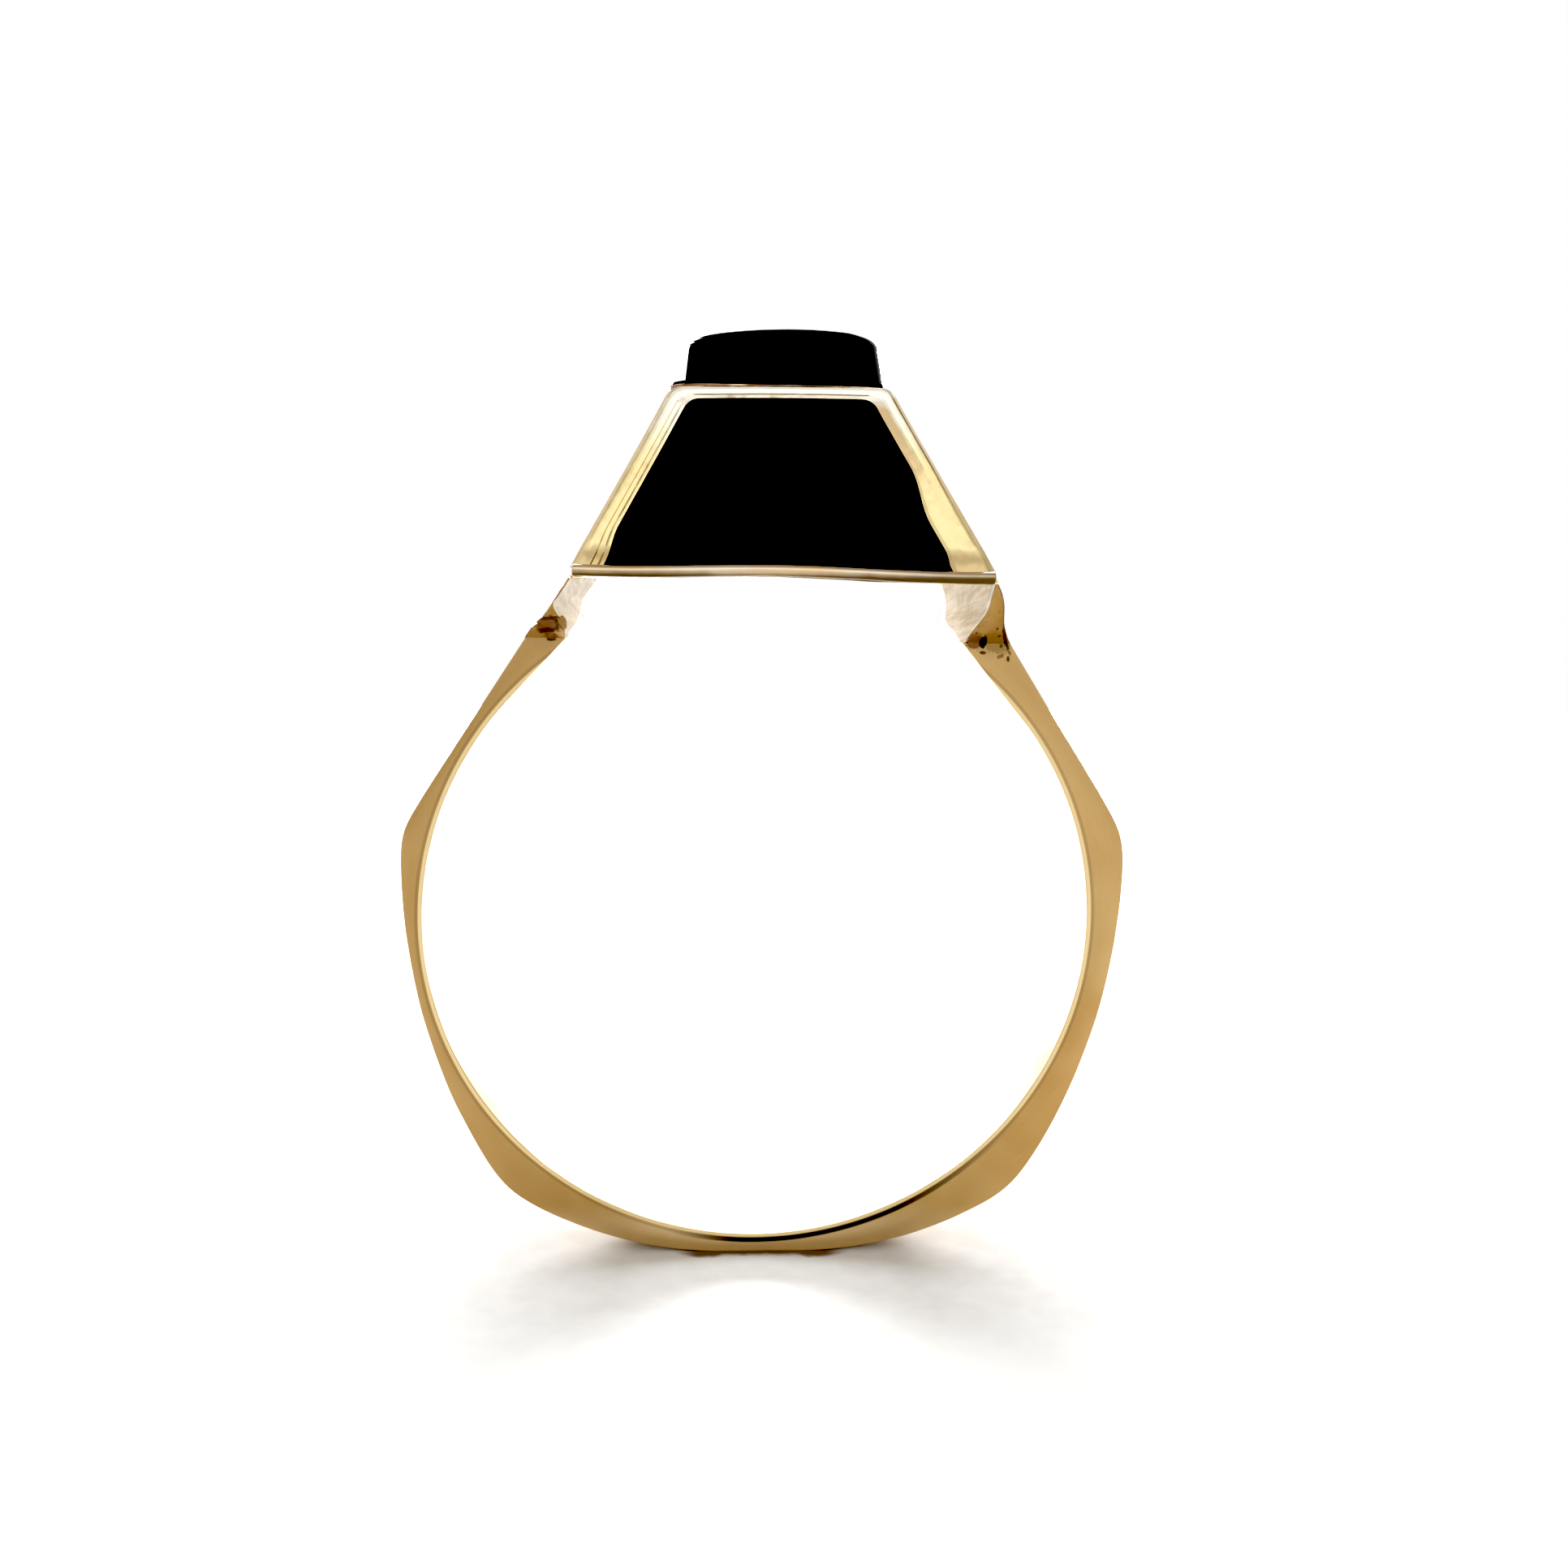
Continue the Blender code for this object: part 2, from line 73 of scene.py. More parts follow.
HOLE_RADIUS = 8.675
HOLE_MIDDLE = Vector((-0.19, 9.175))
HOLE_ROUND_TO_RIGHT = math.radians(40)
HOLE_ROUND_TO_LEFT = math.radians(43)
PALM_FLAT_HALF = 1.0
PALM_ARC_RADIUS = 10.2
FLANK_ARC_RADIUS = 16.505
FLANK_ARC_HEIGHT = 10.6
SIDE_CORNER = Vector((SHANK_HIGH.x, 11.625))
JOINT_OUTSIDE = 6.107
CORNER_SHARPNESS = 75
HALF_DEPTH_AT_PALM = 1.2
HALF_DEPTH_AT_JOINT = 2.5
HOOP_STEPS = 300
HOOP_INNER_EDGE = 0.13
HOOP_OUTER_EDGE = 0.05
HOOP_RUFFLE = (3.0, 0.05)
BORE_MARGIN = 0.01
BORE_FACING = 0.9
SIDE_FACING = 0.1

# Legs between hoop and head. A span is where a change along a piece starts and ends.

LEG_TOP_HALF_DEPTH = 4.58
LEG_TOP_INSET = 0.12
LEG_FLARE = (LEG_TOP_HALF_DEPTH - HALF_DEPTH_AT_JOINT) / (HEAD_FOOT - JOINT)
HOOP_FLARE = (HALF_DEPTH_AT_JOINT - HALF_DEPTH_AT_PALM) / JOINT
LEG_SWELL = 0.06
LEG_LEVELS = 30
LEG_SLICES = 72
LEG_EDGE = 0.05
LEG_INSIDE_FACING = 0.3
LEG_FRONT_FACING = 0.15
LEG_OUTSIDE_FACING = 0.25
LEG_RUFFLE = (1.5, 0.03)
LEG_REAR_SPAN = (0.25, 0.6)
RIGHT_LEG_FOOT = 6.13
RIGHT_LEG_INSIDE = 5.27
RIGHT_LEG_TOP_OUT = 0.07
RIGHT_LEG_FOOT_SPAN = (0.0, 0.62)
LEG_FOOT_INSIDE = 4.93
LEFT_LEG_FOOT = 6.03
LEFT_LEG_TOP_INSET = 0.11
LEFT_LEG_HEEL = 0.10
LEFT_LEG_WALL = 0.06
LEFT_LEG_FOOT_WALL = 0.80
LEFT_LEG_REAR = 0.35
LEFT_LEG_INSIDE = 5.09
LEFT_LEG_FOOT_SLOPE = 0.35
LEFT_LEG_WALL_SPAN = (0.10, 0.64)
LEFT_LEG_FOOT_SPAN = (0.02, 0.20)
LEFT_LEG_HEEL_SPAN = (0.17, 0.27)

# Head

HEAD_FOOT_HALF_WIDTH = 5.15
RIM_HALF_WIDTH = 2.675
RIGHT_SPREAD = 0.18
HEAD_FOOT_HALF_LENGTH = 4.70
RIM_HALF_LENGTH = 3.30
FRAME_FOOT_LOWERED = 0.12
FRAME_FOOT = FRAME_LOW.z - FRAME_FOOT_LOWERED
SIDE_SLOPE = (HEAD_FOOT_HALF_WIDTH - RIM_HALF_WIDTH) / (HEAD_RIM - HEAD_FOOT)
FRAME_BAR = 0.68
TOP_BAR = 0.29
TOP_BAR_ARCH = 0.04
TOP_BAR_LEVEL = 0.012
RIGHT_FOOT_EXTRA = 0.32
RIGHT_FOOT_SPAN = (19.5, 20.9)
RIGHT_FOOT_FILLET = 0.10
RIGHT_FILLET_SPAN = (18.45, 18.85)
LEFT_FOOT_EXTRA = 0.16
LEFT_FOOT_SPAN = (18.5, 19.4)
LEFT_BAR_LESS = 0.08
RIGHT_BAR_LESS = 0.06
FRAME_CORNER = 0.45
WINDOW_CORNER = 0.42
FRAME_BODY = 0.33
FRAME_RUFFLE = (1.6, 0.016)
SIDE_PLATE = 0.45
SIDE_PLATE_SHORTER = 0.17
SIDE_PLATE_EDGE = 0.06
SIDE_PLATE_RUFFLE = (2.5, 0.03)
LEFT_PLATE_INSET = 0.09
BACKING_DEPTH = 0.47
BACKING_THICKNESS = 0.30
BACKING_RAISED = 0.18
BACKING_GAP = 0.02
BACKING_EDGE = 0.03
RAIL_THICKNESS = 0.29
RAIL_LONGER = 0.18
RAIL_SHIFT = 0.09
RAIL_WAVE = 0.045
RAIL_HALF_WAVES = 2.4
RAIL_TILT = 0.06
RAIL_EDGE = 0.05
RAIL_CUTS = 60
RAIL_LONG_EDGE = 1
RAIL_RUFFLE = (1.6, 0.03)
PANEL_DEPTH = 0.20
PANEL_THICKNESS = 0.20
PANEL_GAP = 0.01

# Stone table

TABLE_FOOT = 0.40
TABLE_CORNER = 0.78
TABLE_CUTS = 15
TABLE_LONG_EDGE = 2
SHOULDER_STEPS = 8
CROWN_STEPS = 8
CROWN_POWER = 3
TABLE_TAPER = 0.94
TABLE_SHOULDER = 0.36
TABLE_CROWN = 0.03
TABLE_BOW = 0.24
TABLE_LIFT = 0.10
TABLE_TILT = 0.034
TABLE_LEFT_SPREAD = 0.15
TABLE_RIGHT_SPREAD = 0.05
BEZEL_CORNER = 0.90
BEZEL_WALL = 0.10
BEZEL_EDGE = 0.025
UPRIGHT_STEPS = 10


def clamp(value):
    return min(1.0, max(0.0, value))


def ease(value, start, end):
    """0 before start, 1 after end, and smooth between them."""
    part = clamp((value - start) / (end - start))
    return part * part * (3 - 2 * part)


def fade(value, start, end):
    """1 before start, 0 after end, and smooth between them."""
    return ease(-value, -end, -start)


def mix(first, second, part):
    return first + (second - first) * part


# Shader maths

class Value:
    """A shader socket that Python arithmetic turns into Math nodes."""

    def __init__(self, nodes, socket):
        self.nodes = nodes
        self.socket = socket

    def math(self, operation, first, second=0.0):
        return self.nodes.add("ShaderNodeMath", {"operation": operation}, {0: first, 1: second})

    def __add__(self, other):
        return self.math("ADD", self, other)

    def __sub__(self, other):
        return self.math("SUBTRACT", self, other)

    def __rsub__(self, other):
        return self.math("SUBTRACT", other, self)

    def __mul__(self, other):
        return self.math("MULTIPLY", self, other)

    def __truediv__(self, other):
        return self.math("DIVIDE", self, other)

    def __pow__(self, other):
        return self.math("POWER", self, other)

    def __abs__(self):
        return self.math("ABSOLUTE", self)

    __radd__ = __add__
    __rmul__ = __mul__


class Nodes:
    """The node tree of a material or of the world."""

    def __init__(self, owner):
        owner.use_nodes = True
        self.tree = owner.node_tree

    def add(self, kind, settings=None, inputs=None, output=0):
        """One node: its settings are set first, then the values or links of its sockets."""
        node = self.tree.nodes.new(kind)
        for name, value in (settings or {}).items():
            setattr(node, name, value)
        for name, value in (inputs or {}).items():
            self.feed(node.inputs[name], value)
        return Value(self, node.outputs[output])

    def feed(self, socket, value):
        if isinstance(value, Value):
            self.tree.links.new(value.socket, socket)
        else:
            socket.default_value = value

    def split(self, vector):
        """The three numbers of a vector."""
        first = self.add("ShaderNodeSeparateXYZ", inputs={0: vector})
        return [Value(self, socket) for socket in first.socket.node.outputs]

    def vector(self, x, y, z):
        return self.add("ShaderNodeCombineXYZ", inputs={0: x, 1: y, 2: z})

    def step(self, value, start, end):
        """The same as ease, in nodes."""
        return self.add("ShaderNodeMapRange", {"interpolation_type": "SMOOTHSTEP"},
                        {"Value": value, "From Min": start, "From Max": end})

    def fade(self, value, start, end):
        return 1 - self.step(value, start, end)

    def blend(self, part, first, second):
        """A colour between two colours."""
        return self.add("ShaderNodeMix", {"data_type": "RGBA"}, {0: part, 6: first, 7: second}, output=2)


class Finish(Nodes):
    """A material under construction, with the place on the object in millimetres."""

    def __init__(self, name, metallic=1.0):
        self.material = bpy.data.materials.new(name)
        super().__init__(self.material)
        self.shader = self.tree.nodes["Principled BSDF"]
        self.shader.inputs["Metallic"].default_value = metallic
        place = self.add("ShaderNodeTexCoord", output=3)
        to_mm = (1 / MM, 1 / MM, 1 / MM)
        self.place = self.add("ShaderNodeMapping", inputs={"Vector": place, "Scale": to_mm})
        self.x, self.y, self.z = self.split(self.place)

    def noise(self, size, detail=2.0, place=None, roughness=0.5):
        """Soft noise whose blobs are about size millimetres across."""
        return self.add("ShaderNodeTexNoise", inputs={
            "Vector": place or self.place, "Scale": 1 / size, "Detail": detail, "Roughness": roughness})

    def stretched(self, turn, stretch):
        """The place turned and then stretched, for marks that run one way."""
        turned = self.add("ShaderNodeMapping", inputs={"Vector": self.place, "Rotation": turn})
        return self.add("ShaderNodeMapping", inputs={"Vector": turned, "Scale": stretch})

    def from_hole(self):
        """How far the place is right of, below and out from the middle of the finger hole."""
        across = self.x - HOLE_MIDDLE.x
        down = HOLE_MIDDLE.y - self.z
        return across, down, (across * across + down * down) ** 0.5

    def around_hoop(self, lengthwise, crosswise):
        """The place measured along the hoop, out from the finger and across the band, each squeezed."""
        across, down, out = self.from_hole()
        turn = across.math("ARCTAN2", across, down)
        return self.vector(turn * (HOLE_RADIUS * lengthwise), out * crosswise, self.y * crosswise)

    def near_joint(self):
        """Distance from the nearer soldered joint, seen from the front."""
        across = abs(self.x) - BURN_REACH
        return (across * across + (self.z - BURN_HEIGHT) ** 2) ** 0.5

    def half_depth(self, flare):
        """Half the depth of the leg or the hoop at the place, by how fast it flares from the joint."""
        return HALF_DEPTH_AT_JOINT + (self.z - JOINT) * flare

    def scorched(self, colour):
        """A colour with the marks of the torch on the front and the back of the joints."""
        leg = self.half_depth(LEG_FLARE)
        deepest = leg.math("MAXIMUM", leg, self.half_depth(HOOP_FLARE))
        on_face = self.fade(deepest - abs(self.y), *SCORCH_DEPTH_SPAN)
        ragged = (self.noise(SCORCH_GRAIN, 2) - 0.5) * SCORCH_RAGGED
        for mark_x, mark_z, half_long, half_wide, turn, strength, mark_colour in SCORCH_MARKS:
            across = self.x - mark_x
            up = self.z - mark_z
            along = across * math.cos(turn) + up * math.sin(turn)
            aside = up * math.cos(turn) - across * math.sin(turn)
            lengthwise = abs(along / half_long) ** SCORCH_SQUARENESS
            crosswise = abs(aside / half_wide) ** SCORCH_SQUARENESS
            distance = (lengthwise + crosswise) ** (1 / SCORCH_SQUARENESS)
            inside = self.fade(distance + ragged, *SCORCH_EDGE_SPAN)
            colour = self.blend(inside * on_face * strength, colour, mark_colour)
        return colour

    def palm_edge(self):
        """The painted highlight line on the inner edge and the painted shade line beside it, which is broad
        at the palm.
        """
        across, down, out = self.from_hole()
        along = self.step(self.x, *EDGE_SHADE_LEFT_SPAN) * self.fade(self.x, *EDGE_SHADE_RIGHT_SPAN)
        along = along * self.step(down, *EDGE_SHADE_RISE_SPAN)
        bright, thin, broad = [self.fade(abs(out - HOLE_RADIUS - middle), half, soft)
                               for middle, half, soft in (EDGE_HIGHLIGHT_LINE, THIN_EDGE_SHADE, BROAD_EDGE_SHADE)]
        return bright, broad * along + thin * (1 - along) * THIN_EDGE_SHADE_STRENGTH

    def leg_front(self):
        """1 on the faces of the legs that look to the front or the back."""
        behind_face = self.half_depth(LEG_FLARE) - abs(self.y)
        return self.step(self.z, *LEG_FACE_FOOT_SPAN) * self.fade(behind_face, *LEG_FACE_DEPTH_SPAN)

    def layered(self, colour, *layers):
        """A colour with others laid over it, each a mask and the colour that shows where the mask is 1."""
        for mask, layer in layers:
            colour = self.blend(mask, colour, layer)
        return colour

    def bump(self, height, depth):
        """Relief of the given depth in millimetres."""
        distance = depth * MM
        return self.add("ShaderNodeBump", inputs={"Strength": 1.0, "Distance": distance, "Height": height})

    def done(self, colour, roughness, normal=None):
        self.feed(self.shader.inputs["Base Color"], colour)
        self.feed(self.shader.inputs["Roughness"], roughness)
        if normal:
            self.feed(self.shader.inputs["Normal"], normal)
        return self.material


# Colours, linear

GOLD_WARM = (0.515, 0.330, 0.155, 1)
GOLD_PALE = (0.595, 0.420, 0.215, 1)
# painted light: the upper hoop is lighter
GOLD_PAINTED_LIGHT_UPPER = (0.68, 0.470, 0.242, 1)
# painted shade: the left of the hoop is darker
GOLD_PAINTED_SHADE_LEFT = (0.45, 0.300, 0.150, 1)
# painted light: the palm is paler
GOLD_PAINTED_LIGHT_PALM = (0.74, 0.560, 0.345, 1)
GOLD_BRIGHT = (0.92, 0.73, 0.42, 1)
GOLD_ROSE = (0.82, 0.62, 0.40, 1)
GOLD_WORN = (0.90, 0.78, 0.56, 1)
GOLD_WIRE = (0.82, 0.68, 0.51, 1)
# painted highlight for the frame near the rim
GOLD_PAINTED_HIGHLIGHT = (0.97, 0.90, 0.76, 1)
GOLD_HEATED = (0.46, 0.325, 0.180, 1)
# a greyer, less orange gold for the legs' front and back faces
GOLD_LEG_FACES = (0.49, 0.362, 0.208, 1)
FRAME_YELLOW = (0.85, 0.705, 0.390, 1)
FRAME_MOTTLE = (0.76, 0.590, 0.330, 1)
FRAME_ROSY = (0.64, 0.490, 0.290, 1)
# painted shade for the frame's outer edges and foot
FRAME_PAINTED_SHADE = (0.57, 0.430, 0.245, 1)
GOLD_RED_BROWN = (0.34, 0.190, 0.120, 1)
# painted shade under the rail
RAIL_PAINTED_SHADE = (0.16, 0.118, 0.075, 1)
# painted shade along the palm's inner edge
EDGE_PAINTED_SHADE = (0.10, 0.085, 0.075, 1)
FILED_LIGHT = (0.90, 0.85, 0.78, 1)
FILED_DARK = (0.70, 0.64, 0.56, 1)
SOLDER_DARK = (0.12, 0.085, 0.070, 1)
SOLDER_BROWN = (0.26, 0.155, 0.095, 1)
SOLDER_GOLD = (0.46, 0.315, 0.170, 1)
SOLDER_OLIVE = (0.36, 0.245, 0.125, 1)
# soot and painted shade for the black solder pit
PIT_SOOT_AND_SHADE = (0.006, 0.004, 0.003, 1)
ONYX_BLACK = (0.0016, 0.0016, 0.0018, 1)
ONYX_BAND = (0.0040, 0.0038, 0.0040, 1)
CEMENT_GREY = (0.22, 0.19, 0.15, 1)
CEMENT_DARK = (0.10, 0.085, 0.065, 1)
PAPER_WHITE = (0.78, 0.78, 0.775, 1)
PAPER_SHADE = (0.74, 0.74, 0.735, 1)
# painted light: the floor far in front is brighter
PAPER_PAINTED_LIGHT_FRONT = (0.88, 0.88, 0.87, 1)
# painted light: the floor behind is brighter
PAPER_PAINTED_LIGHT_BEHIND = (0.90, 0.90, 0.89, 1)
# painted shadow on the floor under the palm
PAINTED_PALM_SHADOW = (0.225, 0.175, 0.150, 1)

# Where the floor is painted brighter as painted light, and the painted shadow on it under the palm

PAPER_BEHIND_SPAN = (11, 40)
PAPER_FRONT_SPAN = (4.5, 9)
# where the painted shadow under the palm lies
SHADE_LEFT_SPAN = (-2.48, -1.68)
SHADE_RIGHT_SPAN = (1.75, 2.55)
SHADE_END_SPAN = (1.0, 1.3)
SHADE_REACH_SPAN = (0.13, 0.39)
SHADE_LONGER_AT_ENDS = 0.12
SHADE_TAPER = 0.26
SHADE_RAGGED = 0.2

# Where the gold of the hoop and the legs changes. A line is its distance from the hole, half width and fade.

UPPER_HOOP_SPAN = (8.5, 13)
LEFT_HOOP_SPAN = (2, 7)
PALE_PALM_SPAN = (0.45, 1.50)
HEAT_SPAN = (0.40, 0.90)
LEG_FACE_FOOT_SPAN = (JOINT - 0.05, JOINT + 0.15)
LEG_FACE_DEPTH_SPAN = (0.10, 0.45)
# Where the painted shade line and the painted highlight line along the palm's inner edge run
EDGE_SHADE_LEFT_SPAN = (-2.8, -0.6)
EDGE_SHADE_RIGHT_SPAN = (3.6, 7.2)
EDGE_SHADE_RISE_SPAN = (3.0, 5.0)
EDGE_HIGHLIGHT_LINE = (0.06, 0.03, 0.07)
THIN_EDGE_SHADE = (0.15, 0.025, 0.060)
THIN_EDGE_SHADE_STRENGTH = 0.25
BROAD_EDGE_SHADE = (0.17, 0.050, 0.100)

# Where the gold of the frame and the rail changes

RIGHT_HALF_SPAN = (-0.1, 0.1)
# where the painted highlight whitens the frame
PAINTED_HIGHLIGHT_SPAN = (HEAD_RIM - 1.9, HEAD_RIM - 0.1)
ROSY_DEPTH_SPAN = (0.36, 0.42)
ROSY_FOOT_SPAN = (20.7, 21.4)
ROSY_TOP_SPAN = (HEAD_RIM - 0.55, HEAD_RIM - 0.25)
# where the painted shade darkens the frame's outer edges, top and foot
TAN_EDGE_SPAN = (0.10, 0.19)
TAN_TOP_SPAN = (HEAD_RIM - 0.3, HEAD_RIM)
TAN_FOOT_SPAN = (FRAME_FOOT + 0.45, FRAME_FOOT + 0.75)
# where the painted shade under the rail fades out
RAIL_UNDER_SPAN = (HEAD_FOOT + 0.05, HEAD_FOOT + 0.22)

# Middle of the heat marks at the joints, out from the middle of the ring and up

BURN_REACH = 5.6
BURN_HEIGHT = 16.75

# Marks of the torch: middle across and up, half length, half width, turn, strength, colour

SCORCH_DEPTH_SPAN = (0.15, 0.30)
SCORCH_EDGE_SPAN = (0.75, 1.25)
SCORCH_GRAIN = 0.08
SCORCH_RAGGED = 1.1
SCORCH_SQUARENESS = 2.5
SCORCH_MARKS = [
    (-5.32, 17.34, 0.17, 0.15, 0.0, 0.6, SOLDER_GOLD),
    (-5.13, 17.01, 0.12, 0.21, 0.0, 0.9, SOLDER_OLIVE),
    (-5.52, 16.97, 0.30, 0.21, 0.1, 1.0, SOLDER_BROWN),
    (-5.47, 17.13, 0.24, 0.045, 0.1, 0.9, SOLDER_DARK),
    (-5.52, 16.83, 0.26, 0.065, 0.1, 0.9, SOLDER_DARK),
    (-5.28, 16.99, 0.040, 0.16, 0.0, 0.7, SOLDER_DARK),
    (-5.46, 16.68, 0.16, 0.07, 0.0, 0.9, SOLDER_BROWN),
    (-5.47, 16.58, 0.12, 0.035, 0.0, 0.9, SOLDER_DARK),
    (5.74, 16.64, 0.36, 0.26, -0.3, 0.85, SOLDER_OLIVE),
    (5.16, 16.68, 0.20, 0.21, 0.0, 0.85, SOLDER_BROWN),
    # the black pit on the face: soot and painted shade
    (5.41, 16.64, 0.09, 0.155, 0.0, 1.0, PIT_SOOT_AND_SHADE),
    (5.42, 16.38, 0.08, 0.045, 0.0, 0.9, SOLDER_DARK),
    (5.95, 16.74, 0.42, 0.045, -1.17, 0.95, SOLDER_DARK),
    (5.68, 17.00, 0.035, 0.035, 0.0, 0.8, SOLDER_DARK),
    (5.78, 16.81, 0.040, 0.040, 0.0, 0.8, SOLDER_DARK),
    (5.88, 16.55, 0.045, 0.045, 0.0, 0.8, SOLDER_DARK),
    (5.88, 16.29, 0.09, 0.05, 0.3, 0.8, SOLDER_BROWN),
    (6.08, 16.22, 0.04, 0.07, 0.0, 0.9, SOLDER_DARK),
]

# How far back from the middle the filing on the legs' inner faces reaches

FILING_REACH = 4.3
FILING_SKEW = 0.12
FILING_SLANT = 1.6
FILING_BEND = 17.2
FILING_DROP = 3.4
FILING_LEFT_SHORTER = 3.4
FILING_LEFT_SLANT = 2.1
FILING_DROP_LEFT = 1.1
FILING_RAGGED = 0.9
FILING_EDGE_SPAN = (0.10, 0.32)
FILING_TURN = 0.12


# Finishes

def satin_gold():
    """Gold buffed along the hoop, browned by heat near the solder, with painted light and shade: lighter up
    the hoop and on the palm, darker on the left, and a painted highlight and painted shade along the palm's
    inner edge.
    """
    finish = Finish("gold_satin")
    streaks = finish.noise(1, 3, finish.around_hoop(0.35, 11))
    tone = finish.noise(2.6, 2)
    heat = finish.fade(finish.near_joint() + finish.noise(0.5, 3) * 0.5, *HEAT_SPAN)
    painted_highlight, painted_shade = finish.palm_edge()
    colour = finish.scorched(finish.layered(
        GOLD_WARM,
        (finish.step(tone, 0.3, 0.7), GOLD_PALE),
        # painted light: the upper hoop is lighter
        (finish.step(finish.z, *UPPER_HOOP_SPAN) * 0.7, GOLD_PAINTED_LIGHT_UPPER),
        # painted shade: the left of the hoop is darker
        (finish.step(0 - finish.x, *LEFT_HOOP_SPAN) * 0.6, GOLD_PAINTED_SHADE_LEFT),
        # painted light: the palm is paler
        (finish.fade(finish.z, *PALE_PALM_SPAN), GOLD_PAINTED_LIGHT_PALM),
        (streaks * 0.15, GOLD_WARM),
        # the legs' front and back faces take a greyer, less orange gold
        (finish.leg_front(), GOLD_LEG_FACES),
        (heat * 0.7, GOLD_HEATED),
        # painted highlight and painted shade along the palm's inner edge
        (painted_highlight * 0.8, GOLD_BRIGHT),
        (painted_shade, EDGE_PAINTED_SHADE)))
    roughness = 0.20 + streaks * 0.10 + heat * 0.12
    ripple = finish.noise(0.9, 2)
    return finish.done(colour, roughness, finish.bump(streaks * 0.05 + ripple, 0.010))


def polished_gold():
    """Bright gold with the faint waves and hairline scratches of hand polishing."""
    finish = Finish("gold_polished")
    waves = finish.noise(0.8, 2)
    scratches = finish.noise(1, 4, finish.stretched((0.3, 0.6, 0.9), (0.6, 14, 14)))
    tone = finish.step(finish.noise(1.3, 2), 0.35, 0.7)
    colour = finish.blend(tone * 0.5, GOLD_BRIGHT, GOLD_ROSE)
    roughness = 0.12 + finish.step(scratches, 0.55, 0.75) * 0.14
    return finish.done(colour, roughness, finish.bump(waves + scratches * 0.06, 0.02))


def frame_gold():
    """Polished, with a painted highlight whitening it towards the rim, painted shade in tan at the outer
    edges and foot, and rosy on the right slope.
    """
    finish = Finish("gold_frame")
    waves = finish.noise(0.8, 2)
    mottle = finish.noise(0.22, 3)
    z = finish.z
    across = finish.x - HEAD_MIDDLE
    right = finish.step(across, *RIGHT_HALF_SPAN)
    spread = right * (HEAD_RIM - z) * (RIGHT_SPREAD / (HEAD_RIM - HEAD_FOOT))
    half_width = HEAD_FOOT_HALF_WIDTH - (z - HEAD_FOOT) * SIDE_SLOPE + spread
    from_edge = half_width - abs(across) + mottle * 0.08
    slope = finish.step(from_edge, *ROSY_DEPTH_SPAN) * finish.step(z + mottle * 0.6, *ROSY_FOOT_SPAN) * right
    edge = finish.fade(from_edge, *TAN_EDGE_SPAN) * finish.fade(z, *TAN_TOP_SPAN)
    foot = finish.fade(z + mottle * 0.3, *TAN_FOOT_SPAN)
    colour = finish.layered(
        FRAME_YELLOW,
        (finish.step(mottle, 0.45, 0.75) * 0.6, FRAME_MOTTLE),
        # painted highlight: whiter towards the rim
        (finish.step(z + mottle * 0.3, *PAINTED_HIGHLIGHT_SPAN), GOLD_PAINTED_HIGHLIGHT),
        (slope * finish.fade(z, *ROSY_TOP_SPAN), FRAME_ROSY),
        # painted shade: tan at the outer edges and the foot
        (edge.math("MAXIMUM", edge, foot * 0.8), FRAME_PAINTED_SHADE))
    roughness = 0.13 + finish.step(mottle, 0.5, 0.8) * 0.14
    return finish.done(colour, roughness, finish.bump(waves + mottle * 0.15, 0.02))


def red_brown_gold():
    """The rim round the stone, red-brown with patches of rose gold."""
    finish = Finish("gold_red_brown")
    patches = finish.noise(0.5, 3)
    colour = finish.blend(finish.step(patches, 0.45, 0.75), GOLD_RED_BROWN, GOLD_ROSE)
    return finish.done(colour, 0.25 + patches * 0.2, finish.bump(patches, 0.02))


def drawn_gold():
    """Drawn wire: paler than the hoop, with fine lines along its length and painted shade along its
    underside.
    """
    finish = Finish("gold_drawn")
    lines = finish.noise(1, 3, finish.stretched((0, 0, 0), (0.4, 16, 16)))
    tone = finish.step(finish.noise(1.9, 2), 0.3, 0.7)
    # painted shade on the rail's underside
    under = finish.fade(finish.z - finish.noise(0.6, 2) * 0.06, *RAIL_UNDER_SPAN)
    streaks = finish.step(lines, 0.6, 0.8) * 0.3
    colour = finish.layered(GOLD_WIRE, (tone, GOLD_ROSE), (streaks, GOLD_WARM), (under, RAIL_PAINTED_SHADE))
    return finish.done(colour, 0.17 + lines * 0.12, finish.bump(lines * 0.3 + finish.noise(1.2, 2), 0.012))


def worn_gold():
    """The bore, rubbed pale and bright by the finger."""
    finish = Finish("gold_worn")
    rubbing = finish.noise(1, 3, finish.around_hoop(1.5, 3))
    tone = finish.step(finish.noise(1.7, 2), 0.35, 0.7)
    colour = finish.blend(tone * 0.6, GOLD_WORN, GOLD_BRIGHT)
    return finish.done(colour, 0.16 + rubbing * 0.14, finish.bump(rubbing, 0.01))


